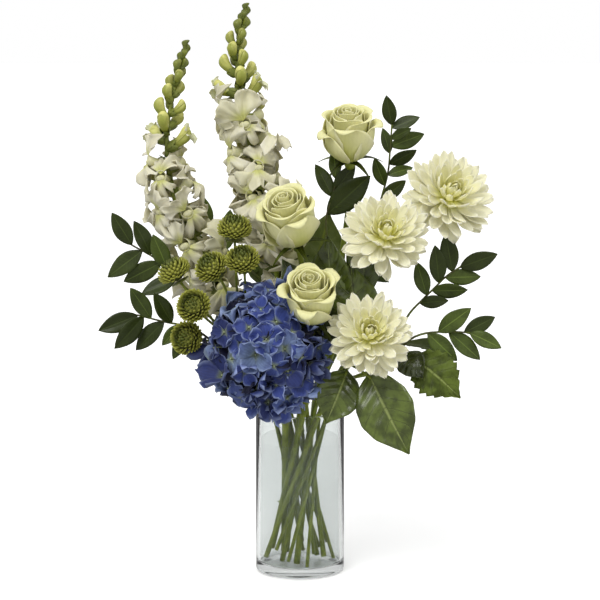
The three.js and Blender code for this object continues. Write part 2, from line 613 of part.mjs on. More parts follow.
function huckleberrySpray(name, { fork, facing, twigs }, seed, grow) {
  const roll = dice(seed);
  const join = vector(fork);
  const arrival = vector(twigs[0].route[0]).sub(join);
  const made = [rod(new StemCurve(name, 2, join, arrival), 2, grow)];
  for (const { route, leaves } of twigs) {
    const curve = through([within(join, arrival), ...route]);
    made.push(rod(curve, LEAF_TWIG_RADIUS, grow, 5, 30));
    for (const [share, ...tip] of leaves) {
      const root = curve.getPointAt(Math.min(share, 0.995));
      const along = vector(tip).sub(root);
      const length = along.length();
      const tipped = vector(facing).add(new THREE.Vector3(roll(-0.45, 0.45), 0, roll(-0.45, 0.45)));
      const outline = LEAF_SHAPE.map(([s, half], i) => [s * length, half * length, i % 3 ? -0.6 : 0, i % 3 ? 0.9 : 0]);
      made.push(blade(placing(root, along, tipped), outline, 1.3, grow));
    }
  }
  return made;
}

// A large leaf with its rounded shoulders, drawn-out tip and shallow teeth, folded a little at the rib.
function salalLeaf({ base, tip, facing, half }, grow) {
  const root = vector(base);
  const along = vector(tip).sub(root);
  const length = along.length();
  const shape = [[0, 0], [0.12, 0.62], [0.3, 0.93], [0.48, 1], [0.68, 0.8], [0.85, 0.4], [1, 0]];
  const outline = shape.map(([s, w]) => [s * length, half * w, 6 * Math.sin(Math.PI * s) - 2, half * w * 0.16]);
  return blade(placing(root, along, vector(facing)), outline, 1.6, grow);
}

function salalBranch(name, { top, leaves }, grow) {
  const end = vector(top);
  const outward = new THREE.Vector3(end.x, end.y, 60);
  const made = [rod(new StemCurve(name, 2.1, end, outward), 2.1, grow)];
  const start = within(end, outward);
  for (const leaf of leaves) {
    const root = vector(leaf.base);
    const heading = vector(leaf.tip).sub(root).normalize();
    const stalk = new THREE.QuadraticBezierCurve3(
      start, end.clone().lerp(root, 0.6), root.clone().addScaledVector(heading, 5));
    made.push(rod(stalk, 1.4, grow, 5, 14), salalLeaf(leaf, grow));
  }
  return made;
}

// ---- The bouquet --------------------------------------------------------------------------------

add("vase", "glass", () => [vaseGeometry()]);
placed.length = 0; // nothing reaches the glass, and the water is turned to fit inside it

const hydrangeaTop = vector(HYDRANGEA.centre).add(vector([6, 16, -24]));
add("hydrangea_stem", "stem", (grow) => [rod(
  new StemCurve("hydrangea", HYDRANGEA.stemRadius, hydrangeaTop, new THREE.Vector3(-0.3, -0.6, 0.8)),
  HYDRANGEA.stemRadius, grow)]);
for (const [name, rose] of Object.entries(ROSES)) add(`${name}_stem`, "stem", (grow) => roseStem(name, rose, grow));
for (const [name, mum] of Object.entries(MUMS)) add(`${name}_stem`, "stem", (grow) => mumStem(name, mum, grow));
for (const [name, spike] of Object.entries(SNAPDRAGONS))
  add(`${name}_stem`, "stem", (grow) => snapdragonStem(name, spike, grow));
add("button_stems", "stem", buttonStems);

for (const [name, rose] of Object.entries(ROSES)) add(`${name}_bloom`, "rose", (grow) => roseBloom(rose, grow));
for (const [name, mum] of Object.entries(MUMS)) add(`${name}_bloom`, "mum", (grow) => mumBloom(mum, grow));
add("hydrangea_head", "hydrangea", hydrangeaHead);
BUTTONS.forEach((button, i) => add(`button_head_${i + 1}`, "button", (grow) => buttonHead(button, grow)));
Object.entries(SNAPDRAGONS).forEach(([name, spike], i) => {
  add(`${name}_buds`, "bud", (grow) => snapdragonBuds(spike, 40 + i, grow));
  add(`${name}_flowers`, "snapdragon", (grow) => snapdragonFlowers(spike, 20 + i, grow));
});
Object.entries(HUCKLEBERRY).forEach(([name, spray], i) =>
  add(name, "huckleberry", (grow) => huckleberrySpray(name, spray, 60 + i, grow)));
for (const [name, branch] of Object.entries(SALAL)) add(name, "salal", (grow) => salalBranch(name, branch, grow));
add("water", "water", () => [waterGeometry()]);

export default bouquet;
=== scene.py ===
"""Hydrangeas in a vase: a mixed bouquet in a glass cylinder of water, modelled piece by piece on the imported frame."""
import math

import bmesh
import bpy
from bpy.props import FloatProperty, FloatVectorProperty, IntProperty, PointerProperty
from mathutils import Matrix, Vector, noise


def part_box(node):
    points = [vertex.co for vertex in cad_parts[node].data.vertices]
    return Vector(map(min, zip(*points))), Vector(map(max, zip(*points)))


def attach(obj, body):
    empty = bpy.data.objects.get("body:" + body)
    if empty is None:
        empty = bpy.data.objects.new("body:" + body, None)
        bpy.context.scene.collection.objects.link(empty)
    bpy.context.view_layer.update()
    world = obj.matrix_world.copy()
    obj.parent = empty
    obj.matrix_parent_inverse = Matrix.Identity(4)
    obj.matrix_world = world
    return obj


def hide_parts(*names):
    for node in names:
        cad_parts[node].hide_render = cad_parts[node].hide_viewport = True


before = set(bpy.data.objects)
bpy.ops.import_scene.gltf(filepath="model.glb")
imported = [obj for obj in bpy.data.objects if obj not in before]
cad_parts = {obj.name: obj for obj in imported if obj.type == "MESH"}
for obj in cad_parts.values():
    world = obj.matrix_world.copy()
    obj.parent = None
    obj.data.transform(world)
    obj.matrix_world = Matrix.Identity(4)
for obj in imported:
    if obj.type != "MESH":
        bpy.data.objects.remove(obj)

bl_info = {
    "name": "Hydrangeas in a vase",
    "version": (1, 0, 0),
    "blender": (4, 5, 0),
    "location": "3D View > Sidebar > Bouquet",
    "description": "A mixed bouquet with a blue hydrangea in a glass cylinder of water",
    "category": "Add Mesh",
}

# ---- Where everything is, in millimetres, as in the part's source --------------------------------

VASE_RADIUS, VASE_HEIGHT = (round(1000 * size, 2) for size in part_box("vase")[1].yz)
VASE_WALL = 4
VASE_FLOOR = 10
WATER_TOP = round(1000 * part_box("water")[1].z, 2)
CLEARANCE = 0.4

# Every stem stands straight in the vase, and the stems of a ring cross at its waist. Above the rim a stem has its
# neck, and bends from there; the bend's reach is a share of the way that is left.
WAIST_HEIGHT = 105
NECK_RISE = 4
BEND_REACH = 0.38
RINGS = (
    {"waist": 17, "slope": 0.385, "first": 243, "names": (
        "hydrangea", "rose_low", "mum_low", "salal_front", "salal_right", "huckleberry_right", "mum_right",
        "huckleberry_back", "salal_back", "huckleberry_left", "buttons")},
    {"waist": 8.4, "slope": 0.21, "first": 30, "names": (
        "rose_top", "huckleberry_top", "snapdragon_right", "snapdragon_left", "rose_left", "mum_middle")},
)
# How high the cut ends stand off the vase's floor, in turn round a ring.
FOOT_LIFTS = (0, 9, 3, 16, 6)

HYDRANGEA_CENTRE = (-36, -72, 266)
HYDRANGEA_RADII = (65, 60, 74)

# Each bloom: its centre, the way it faces, its size and its stem's radius.
ROSES = {
    "rose_left": ((-11, -78, 406), (-0.22, -0.56, 0.8), 0.98, 3.2),
    "rose_top": ((54, -10, 494), (-0.04, -0.42, 0.91), 0.92, 3.2),
    "rose_low": ((11, -104, 325), (-0.03, -0.62, 0.78), 0.9, 3.2),
}
MUMS = {
    "mum_right": ((165, -30, 430), (0.3, -0.78, 0.55), 1.12, 3),
    "mum_middle": ((92, -78, 392), (0.08, -0.83, 0.55), 1.05, 3),
    "mum_low": ((75, -104, 286), (0.08, -0.86, 0.5), 1.02, 3),
}
# Each spike: stops along it, and the share of it below its buds.
SNAPDRAGONS = {
    "snapdragon_left": (
        ((-84, 6, 309), (-114, 4, 369), (-141, 4, 427), (-149, 8, 481), (-141, 14, 540), (-124, 20, 600)), 0.56),
    "snapdragon_right": (
        ((-30, 14, 359), (-43, 22, 419), (-55, 26, 475), (-66, 30, 531), (-71, 35, 587), (-58, 38, 641)), 0.58),
}
# More flowers and buds than in the part's source, because these are thinner.
SPIKE_FLOWERS, SPIKE_BUDS = 18, 18
# Each button head: its centre and the way it faces.
BUTTONS = (
    ((-71, -60, 395), (0, -0.3, 0.95)),
    ((-96, -74, 354), (-0.5, -0.45, 0.74)),
    ((-62, -80, 363), (-0.1, -0.5, 0.86)),
    ((-137, -60, 348), (-0.5, -0.1, 0.86)),
    ((-115, -82, 313), (-0.3, -0.8, 0.5)),
    ((-124, -62, 275), (-0.5, -0.83, 0.2)),
)
BUTTON_RADIUS, BUTTON_FLATNESS = 17.5, 0.72
BUTTON_FORK = (-66, -36, 262)

# Each spray: its fork, the way its leaves face, and its twigs. A twig has its route, and its leaves as a
# share of the twig and the leaf's tip.
HUCKLEBERRY = {
    "huckleberry_left": ((-78, -26, 246), (0, -1, 0.15), (
        (((-100, -22, 294), (-122, -20, 320), (-138, -20, 335), (-155, -20, 354), (-187, -20, 373)),
         ((1, -207, -30, 409), (0.86, -182, -21, 400), (0.72, -162, -30, 385), (0.92, -214, -19, 337),
          (0.78, -196, -21, 331), (0.64, -176, -28, 319))),
        (((-93, -32, 262), (-111, -32, 277), (-127, -32, 284), (-148, -32, 288), (-180, -32, 296)),
         ((0.87, -187, -37, 327), (1, -222, -42, 280), (0.94, -204, -45, 260), (0.75, -184, -30, 257),
          (0.68, -160, -45, 322), (0.6, -152, -43, 264), (0.5, -142, -37, 248), (0.22, -126, -34, 250))))),
    "huckleberry_right": ((104, -26, 252), (0.1, -1, 0.1), (
        (((120, -18, 293), (136, -18, 311), (150, -18, 325), (163, -18, 338), (178, -18, 348)),
         ((0.92, 161, -23, 386), (0.77, 150, -28, 372), (1, 218, -27, 363), (0.84, 201, -18, 337),
          (0.68, 185, -29, 322), (0.53, 164, -25, 311), (0.62, 130, -14, 353))),
        (((124, -38, 271), (137, -38, 276), (155, -38, 278), (172, -38, 278), (188, -38, 277)),
         ((0.64, 187, -48, 305), (0.93, 216, -36, 294), (1, 222, -47, 262), (0.76, 199, -44, 248),
          (0.52, 173, -47, 247))))),
    "huckleberry_top": ((40, 14, 320), (0.05, -1, 0.1), (
        (((81, 22, 379), (91, 22, 419), (99, 22, 451), (101, 22, 475), (103, 22, 504)),
         ((1, 96, 11, 536), (0.98, 134, 23, 513), (0.84, 93, 17, 500), (0.92, 124, 15, 500),
          (0.88, 140, 24, 493), (0.78, 130, 9, 475), (0.72, 127, 26, 457), (0.66, 83, 14, 466),
          (0.58, 119, 22, 441))),
        (((29, 6, 396), (32, 4, 412), (37, 4, 427), (40, 4, 445)),
         ((1, 38, 1, 478), (0.88, 61, 1, 460), (0.84, 18, -1, 461), (0.74, 63, 8, 436), (0.68, 78, -2, 448))))),
    "huckleberry_back": ((10, 58, 250), (0, 0.95, 0.3), (
        (((40, 82, 298), (74, 92, 336), (104, 94, 368), (126, 90, 398)),
         ((1, 138, 88, 432), (0.94, 158, 94, 404), (0.84, 102, 100, 414), (0.78, 136, 100, 362),
          (0.66, 76, 102, 380), (0.56, 104, 96, 320))),
        (((-24, 84, 300), (-60, 92, 334), (-92, 92, 362), (-116, 84, 384)),
         ((1, -144, 82, 404), (0.94, -114, 88, 420), (0.84, -136, 92, 362), (0.78, -82, 100, 402),
          (0.66, -100, 98, 326), (0.56, -46, 102, 374))))),
}

# Each branch: the top of its stem, and its leaves as base, tip, facing and half width.
SALAL = {
    "salal_front": ((52, -58, 249), (
        ((74, -84, 239), (117, -112, 156), (-0.2, -1, 0.15), 32),
        ((52, -74, 241), (28, -92, 185), (0.15, -1, 0.35), 25),
        ((58, -56, 268), (56, -54, 356), (0.1, -1, 0.2), 31), ((40, -50, 262), (-20, -34, 358), (-0.1, -1, 0.2), 29),
        ((38, -50, 294), (30, -52, 386), (-0.2, -1, 0.2), 24), ((68, -38, 316), (74, -28, 410), (0.2, -1, 0.2), 22))),
    "salal_right": ((104, -34, 243), (
        ((124, -42, 251), (176, -62, 209), (0, -0.9, 0.45), 27),
        ((112, -42, 255), (134, -66, 231), (0.2, -1, 0.1), 17),
        ((112, -26, 265), (158, 6, 243), (0.4, 0.5, 0.75), 22))),
    "salal_back": ((-4, 76, 296), (
        ((22, 88, 300), (96, 116, 262), (0.3, 0.8, 0.5), 31), ((12, 86, 312), (34, 104, 398), (0.1, 1, 0.2), 31),
        ((6, 88, 286), (34, 124, 206), (0.1, 1, 0.3), 31), ((-18, 86, 286), (-46, 120, 210), (-0.1, 1, 0.3), 30),
        ((-22, 84, 308), (-52, 100, 388), (-0.1, 1, 0.2), 30),
        ((-30, 86, 298), (-102, 110, 268), (-0.3, 0.8, 0.5), 30))),
}
# The branch and the number of the one leaf with a toothed edge.
TOOTHED_LEAF = ("salal_right", 0)

GOLDEN_ANGLE = math.pi * (3 - math.sqrt(5))
UP, BACK = Vector((0, 0, 1)), Vector((0, 1, 0))
# A slanted way, for where the wanted one would fail.
ANY_SIDE = Vector((0.3, 0.5, 0.8))


# ---- Numbers, curves and places -------------------------------------------------------------------

def screen(red, green, blue):
    """A colour as a screen shows it, 0 to 255, in the linear values that a shader takes."""
    return tuple(((c / 255 + 0.055) / 1.055) ** 2.4 if c > 10 else c / 3295 for c in (red, green, blue))


def dice(seed):
    """A source of numbers that gives the same ones on every run."""
    state = seed

    def roll(low, high):
        nonlocal state
        state = (state * 1664525 + 1013904223) % 2**32
        return low + (high - low) * state / 2**32

    return roll


def smooth(low, high, x):
    t = min(max((x - low) / (high - low), 0), 1)
    return t * t * (3 - 2 * t)


def table(stops, x):
    """Reads a value from (x, value) stops, on straight lines between them."""
    for (x0, y0), (x1, y1) in zip(stops, stops[1:]):
        if x <= x1:
            return y0 + (y1 - y0) * max(x - x0, 0) / (x1 - x0)
    return stops[-1][1]


def placing(origin, along, normal):
    """A place whose local Z runs along, and whose local Y turns towards normal."""
    z = along.normalized()
    x = normal.cross(z)
    if x.length < 1e-3:
        x = ANY_SIDE.cross(z)
    x.normalize()
    return Matrix.Translation(origin) @ Matrix((x, z.cross(x), z)).transposed().to_4x4()


def spoke(around, rise=0.0):
    """The way out from an axis, at an angle round it."""
    return Vector((math.cos(around), math.sin(around), rise))


def beside(at, up, around, rise=0.0):
    """The way out from a stem that runs up through a point, at an angle round it."""
    return placing(at, up, BACK).to_3x3() @ spoke(around, rise)


def dome(lean, around, flatness=1.0):
    """The way out of a round head at a lean from its axis, and the way over its surface to its top."""
    out = Vector((math.sin(lean) * math.cos(around), math.sin(lean) * math.sin(around), flatness * math.cos(lean)))
    inward = Vector((-math.cos(lean) * math.cos(around), -math.cos(lean) * math.sin(around), math.sin(lean)))
    return out, inward


def tumble(roll):
    """A way by chance."""
    return Vector((roll(-1, 1), roll(-1, 1), roll(-1, 1)))


def bloom_of(table_of_blooms, name):
    """A bloom's centre, the axis that it faces along, its size and its stem's radius."""
    centre, facing, size, radius = table_of_blooms[name]
    return Vector(centre), Vector(facing).normalized(), size, radius


class Route:
    """A curve, kept as a line of points, and read by the share of its length."""

    def __init__(self, points):
        self.points = [Vector(p) for p in points]
        self.reached = [0.0]
        for a, b in zip(self.points, self.points[1:]):
            self.reached.append(self.reached[-1] + (b - a).length)
        self.length = self.reached[-1]

    def at(self, share):
        wanted = min(max(share, 0), 1) * self.length
        i = next((i for i, r in enumerate(self.reached) if r >= wanted), len(self.reached) - 1) or 1
        gap = self.reached[i] - self.reached[i - 1]
        return self.points[i - 1].lerp(self.points[i], (wanted - self.reached[i - 1]) / gap if gap else 0)

    def along(self, share):
        return (self.at(share + 0.01) - self.at(share - 0.01)).normalized()

    def part(self, low, high):
        return through([self.at(low + (high - low) * i / 4) for i in range(5)])

    def places(self, count):
        """Places at equal steps along the route, that turn as little as they can from one to the next."""
        side = ANY_SIDE
        made = []
        for i in range(count):
            place = placing(self.at(i / (count - 1)), self.along(i / (count - 1)), side)
            side = place.to_3x3() @ BACK
            made.append(place)
        return made


def through(stops):
    """A smooth route through all the stops."""
    steps = 14
    stops = [Vector(s) for s in stops]
    ends = [2 * stops[0] - stops[1], *stops, 2 * stops[-1] - stops[-2]]
    line = [stops[0]]
    for a, b, c, d in zip(ends, ends[1:], ends[2:], ends[3:]):
        before, gap, after = (max((q - p).length ** 0.5, 1e-6) for p, q in ((a, b), (b, c), (c, d)))
        leave = gap * ((b - a) / before - (c - a) / (before + gap) + (c - b) / gap)
        arrive = gap * ((c - b) / gap - (d - b) / (gap + after) + (d - c) / after)
        for i in range(1, steps + 1):
            t = i / steps
            line.append(b * (2 * t**3 - 3 * t**2 + 1) + leave * (t**3 - 2 * t**2 + t)
                        + c * (3 * t**2 - 2 * t**3) + arrive * (t**3 - t**2))
    return Route(line)


def arch(a, b, c, d):
    """A route from a to d that leaves towards b and arrives from c."""
    steps, line = 24, []
    for i in range(steps + 1):
        t = i / steps
        line.append(a * (1 - t)**3 + b * (3 * t * (1 - t)**2) + c * (3 * t**2 * (1 - t)) + d * t**3)
    return Route(line)


def stem_route(name, radius, end, arrival):
    """Straight through the vase, then bending to arrive at end along arrival."""
    ring = next(r for r in RINGS if name in r["names"])
    index = ring["names"].index(name)
    waist, slope = ring["waist"], ring["slope"]
    azimuth = math.radians(ring["first"] + 360 * index / len(ring["names"]))
    turn = azimuth - math.atan(slope * (VASE_HEIGHT - WAIST_HEIGHT) / waist)

    def at(z):
        away = slope * (z - WAIST_HEIGHT)
        return Vector((
            waist * math.cos(turn) - away * math.sin(turn), waist * math.sin(turn) + away * math.cos(turn), z))

    foot = at(VASE_FLOOR + CLEARANCE + radius * slope + FOOT_LIFTS[index % len(FOOT_LIFTS)])
    neck = at(VASE_HEIGHT + NECK_RISE)
    reach = BEND_REACH * (end - neck).length
    bend = arch(neck, neck + (neck - foot).normalized() * reach, end - arrival.normalized() * reach, end)
    return Route([foot.lerp(neck, i / 12) for i in range(12)] + bend.points)


# ---- Making a piece -------------------------------------------------------------------------------

MARKS = ("along", "across", "tint")


class Piece:
    """A piece in the making, in millimetres. Each point knows how far it is along and across its own petal
    or leaf, and the tint of that petal."""

    def __init__(self, name):
        self.name = name
        self.mesh = self.blank()

    @staticmethod
    def blank():
        part = bmesh.new()
        for mark in MARKS:
            part.verts.layers.float.new(mark)
        return part

    @staticmethod
    def mark(part, point, *values):
        for name, value in zip(MARKS, values):
            point[part.verts.layers.float[name]] = value

    def add(self, part, finish):
        """Adds a part that is ready to the piece."""
        for face in part.faces:
            face.material_index += finish
            face.smooth = True
        ready = bpy.data.meshes.new("part")
        part.to_mesh(ready)
        part.free()
        self.mesh.from_mesh(ready)
        bpy.data.meshes.remove(ready)

    def sheet(self, place, cells, shape, tint=0.0, finish=0, thickness=0.5, underside=0):
        """A petal or leaf: a grid whose points go where shape(across, along) puts them in its own frame, then
        given its thickness. The underside may take another finish, counted from this one."""
        part = self.blank()
        bmesh.ops.create_grid(part, x_segments=cells[0], y_segments=cells[1], size=0.5)
        for point in part.verts:
            across, along = -2 * point.co.x, point.co.y + 0.5
            point.co = place @ shape(across, along)
            self.mark(part, point, along, across, tint)
        part.normal_update()
        top = set(part.faces)
        bmesh.ops.solidify(part, geom=part.faces[:], thickness=thickness)
        for face in part.faces:
            if face not in top:
                face.material_index = underside
        self.add(part, finish)

    def tube(self, route, radius, sides, spacing, tint=0.0, finish=0):
        """A round rod along a route, closed at both ends. The radius may be read by share of the route."""
        steps = max(2, round(route.length / spacing))
        part = self.blank()
        bmesh.ops.create_cone(part, cap_ends=True, segments=sides, radius1=1, radius2=1, depth=steps)
        rungs = [e for e in part.edges if abs(e.verts[0].co.z - e.verts[1].co.z) > steps / 2]
        bmesh.ops.subdivide_edges(part, edges=rungs, cuts=steps - 1, use_grid_fill=True)
        places = route.places(steps + 1)
        for point in part.verts:
            i = round(point.co.z + steps / 2)
            size = radius(i / steps) if callable(radius) else radius
            around = math.atan2(point.co.y, point.co.x)
            point.co = places[i] @ Vector((size * math.cos(around), size * math.sin(around), 0))
            self.mark(part, point, i / steps, around / math.pi, tint)
        self.add(part, finish)

    def knob(self, place, radii, segments, shape=None, tint=0.0, finish=0):
        """A round body: a ball with its own radii, its poles on local Z, and shape(local, along, around) to
        model it further."""
        part = self.blank()
        bmesh.ops.create_uvsphere(part, u_segments=segments[0], v_segments=segments[1], radius=1)
        for point in part.verts:
            along, around = (point.co.z + 1) / 2, math.atan2(point.co.y, point.co.x)
            local = Vector((c * r for c, r in zip(point.co, radii)))
            point.co = place @ (shape(local, along, around) if shape else local)
            self.mark(part, point, along, around / math.pi, tint)
        self.add(part, finish)

    def stalk(self, route, radius, sides, nodes=(), taper=0.0):
        """A stem, with a swelling and the stub of a cut leaf at each of its nodes."""
        self.tube(route, lambda share: radius * (1 - taper * share), sides, 7)
        for i, share in enumerate(nodes):
            at, up = route.at(share), route.along(share)
            side = beside(at, up, i * GOLDEN_ANGLE * 1.7 + radius)
            self.knob(placing(at, up, side), (radius * 1.14, radius * 1.14, radius * 1.2), (12, 8))
            stub = placing(at + side * radius * 0.8, side + up * 0.9, up)
            self.knob(stub, (radius * 0.34, radius * 0.3, radius * 0.8), (8, 6))

    def done(self, slot, finishes, *nodes):
        """Turns the piece to metres and puts it in the scene, in the place of its CAD nodes."""
        bmesh.ops.scale(self.mesh, vec=(0.001, 0.001, 0.001), verts=self.mesh.verts)
        self.mesh.normal_update()
        shape = bpy.data.meshes.new(self.name)
        self.mesh.to_mesh(shape)
        self.mesh.free()
        for finish in finishes:
            shape.materials.append(finish)
        piece = bpy.data.objects.new(self.name, shape)
        bpy.context.scene.collection.objects.link(piece)
        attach(piece, "root")
        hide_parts(*nodes)


# ---- Finishes -------------------------------------------------------------------------------------

class Value:
    """A number that varies over a surface, with Python's arithmetic on it."""

    def __init__(self, finish, socket):
        self.finish, self.socket = finish, socket

    def maths(self, operation, *others):
        return self.finish.node("ShaderNodeMath", {"operation": operation}, dict(enumerate((self, *others))))

    def __add__(self, other):
        return self.maths("ADD", other)

    __radd__ = __add__

    def __sub__(self, other):
        return self.maths("SUBTRACT", other)

    def __rsub__(self, other):
        return self.finish.node("ShaderNodeMath", {"operation": "SUBTRACT"}, {0: other, 1: self})

    def __mul__(self, other):
        return self.maths("MULTIPLY", other)

    __rmul__ = __mul__

    def __pow__(self, other):
        return self.maths("POWER", other)

    def __abs__(self):
        return self.maths("ABSOLUTE")

    def sine(self):
        return self.maths("SINE")

    def between(self, low, high):
        """0 below low, 1 above high, and smooth between them."""
        return self.finish.node("ShaderNodeMapRange", {"interpolation_type": "SMOOTHSTEP"}, {
            "Value": self, "From Min": low, "From Max": high})


class Nodes:
    """The nodes of a material or of the world."""

    def __init__(self, tree):
        self.tree = tree

    def node(self, kind, settings=None, sockets=None, output=0):
        """Adds a node: its settings first, then the values or links of its sockets."""
        node = self.tree.nodes.new(kind)
        for name, value in (settings or {}).items():
            if name == "stops":
                stops = node.color_ramp.elements
                for where, grey in value:
                    stops.new(where).color = (grey, grey, grey, 1)
                stops.remove(stops[0])
                stops.remove(stops[-1])
            else:
                setattr(node, name, value)
        for name, value in (sockets or {}).items():
            if isinstance(value, Value):
                self.tree.links.new(value.socket, node.inputs[name])
            else:
                node.inputs[name].default_value = value
        return Value(self, node.outputs[output])

    def blend(self, factor, first, second, mode="MIX"):
        """A colour from first, at 0, to second, at 1."""
        first, second = (c if isinstance(c, Value) else (*c, 1.0) for c in (first, second))
        return self.node("ShaderNodeMix", {"data_type": "RGBA", "blend_type": mode}, {
            0: factor, 6: first, 7: second}, output=2)


class Finish(Nodes):
    """A material and its nodes."""

    def __init__(self, name):
        self.material = bpy.data.materials.new(name)
        self.material.use_nodes = True
        super().__init__(self.material.node_tree)
        self.tree.nodes.clear()

    def mark(self, name):
        return self.node("ShaderNodeAttribute", {"attribute_name": name}, output="Fac")

    def cloud(self, scale, detail=2.0):
        """Soft noise; the scale is patches per metre."""
        where = self.node("ShaderNodeTexCoord", output="Object")
        return self.node("ShaderNodeTexNoise", {}, {"Vector": where, "Scale": scale, "Detail": detail})

    def bump(self, height, distance, strength):
        return self.node("ShaderNodeBump", {}, {"Height": height, "Distance": distance, "Strength": strength})

    def surface(self, sockets):
        shader = self.node("ShaderNodeBsdfPrincipled", {}, sockets)
        end = self.tree.nodes.new("ShaderNodeOutputMaterial")
        self.tree.links.new(shader.socket, end.inputs["Surface"])
        return self.material


def streaks(finish, count):
    """Fine lines that run along a petal: 0 to 1, count of them from side to side."""
    spread = finish.mark("across") * count + finish.cloud(90.0) * 2.1 + finish.mark("tint") * 17.0
    return (spread * math.pi).sine() * 0.5 + 0.5


def petal_finish(name, body, edge, heart, heart_reach, edge_reach, lines, roughness, glow, inner=None, other=None,
                 shade=0.82):
    """A petal's skin: its own colour at the root, along the body and at the rim, with fine lines and soft mottling.
    The petals of a low tint take the inner colour, and those of a high tint the other one, a painted shade."""
    finish = Finish(name)
    along, across, tint = finish.mark("along"), finish.mark("across"), finish.mark("tint")
    rim = (abs(across) ** 3.0 * 0.75 + along ** 2.0 * 0.6).between(*edge_reach)
    colour = finish.blend(rim, body, edge)
    # Painted shade on the hydrangea: its deep layer goes near black, and outer florets of a high tint darken in part.
    if other:
        colour = finish.blend(tint.between(0.5, 1.3), colour, other)
    if inner:
        colour = finish.blend((1 - tint.between(0.0, 0.5)) * (1 - along * 0.75), colour, inner)
    colour = finish.blend(1 - along.between(*heart_reach), colour, heart)
    mottle = finish.cloud(140.0, 3.0)
    lined = streaks(finish, lines)
    darker = finish.blend(1.0, colour, (shade, shade, shade * 0.98), "MULTIPLY")
    colour = finish.blend(mottle.between(0.42, 0.72) * 0.5 + lined * 0.25, colour, darker)
    relief = lined * 0.5 + finish.cloud(60.0, 2.0) * 1.2
    return finish.surface({
        "Base Color": colour,
        "Roughness": mottle * 0.12 + (roughness - 0.06),
        "Normal": finish.bump(relief, 0.0003, 0.6),
        "Subsurface Weight": glow,
        "Subsurface Radius": (1.0, 0.9, 0.7),
        "Subsurface Scale": 0.002,
        "Sheen Weight": 0.1,
        "Specular IOR Level": 0.3,
    })


def leaf_finish(name, body, vein, patch, roughness, veins=7, depth=0.0006, gloss=0.14, shine=0.14):
    """A leaf: lighter midrib and side veins, pillowed between them, with a waxy uneven gloss. A leaf of a high
    tint is darkened towards a deep green, a painted shade."""
    finish = Finish(name)
    along, across = finish.mark("along"), finish.mark("across")
    side = abs(across)
    midrib = 1 - side.between(0.02, 0.09)
    slanted = (along * veins - side * 1.6) * math.pi
    branch = abs(slanted.sine()).between(0.0, 0.22)
    lines = midrib.maths("MAXIMUM", (1 - branch) * 0.45 * (1 - side * 0.6))
    mottle = finish.cloud(70.0, 3.0)
    colour = finish.blend(mottle.between(0.35, 0.7), body, patch)
    colour = finish.blend(lines, colour, vein)
    # Painted shade: leaves of a high tint, above all the back salal leaves, darken towards a deep green; huckleberry
    # leaves take their tint at random.
    colour = finish.blend(finish.mark("tint") * 0.9, colour, tuple(c * 0.4 for c in patch))
    relief = branch * 0.6 - midrib * 0.8 + finish.cloud(160.0, 3.0) * 0.35
    return finish.surface({
        "Base Color": colour,
        "Roughness": mottle * 0.2 + (roughness - 0.1) + lines * 0.08,
        "Normal": finish.bump(relief, depth, 0.8),
        "Specular IOR Level": shine,
        "Coat Weight": gloss,
        "Coat Roughness": 0.18,
    })


def stem_finish(name, body, light, dark):
    """A green stem: streaks along it, paler and darker patches."""
    finish = Finish(name)
    along, across = finish.mark("along"), finish.mark("across")
    ridges = ((across * 9.0 + finish.cloud(40.0) * 2.0) * math.pi).sine() * 0.5 + 0.5
    mottle = finish.cloud(55.0, 4.0)
    colour = finish.blend(mottle.between(0.3, 0.75), body, light)
    colour = finish.blend(ridges * 0.35 * finish.cloud(25.0).between(0.35, 0.7), colour, dark)
    return finish.surface({
        "Base Color": colour,
        "Roughness": mottle * 0.2 + 0.4,
        "Normal": finish.bump(ridges * 0.5 + mottle, 0.0005, 0.6),
        "Specular IOR Level": 0.4,
    })


# ---- Shapes of petals and leaves ------------------------------------------------------------------

def round_width(along, widest, blunt=0.6, root=0.12, tip=0.06):
    """The half width of a petal, from 0 to 1, by the share of its length."""
    swell = math.sin(math.pi * min(max(along, 0), 1) ** (math.log(0.5) / math.log(widest)))
    return max(max(swell, 0) ** blunt, root * (1 - along) + tip * along)


def waver(where, seed, scale):
    """A smooth wobble between about -1 and 1."""
    return noise.noise(Vector(where) * scale + Vector((seed * 3.7, seed * 1.3, seed * 7.1)))


def sepal_shape(length, half, slope, bend, cup, seed):
    """A broad sepal, a little folded and waved, with a blunt point."""
    def shape(across, along):
        width = half * round_width(along, 0.58, 0.42, 0.2, 0.3)
        ripple = waver((across, along, 0), seed, 1.7) * 0.36 * length * along
        lift = length * (slope * along + bend * along**2) + cup * half * across**2 * along + ripple
        return Vector((across * width, lift, length * along * (1 - 0.16 * across**2 * along)))
    return shape


# The head's layers: one in so many of the florets, and how deep they lie, as shares of the ball's radii.
FLORET_LAYERS = ((1, (0.76, 0.95)), (2, (0.62, 0.7)))
# No floret comes closer to the stem than this, as the cosine of the angle between them.
STEM_CLEARING = 0.94
FLORET_TUMBLE = 0.74
EYE_LIGHT, EYE_DARK = (0.5, 0.6, 0.35), (0.15, 0.25, 0.35)


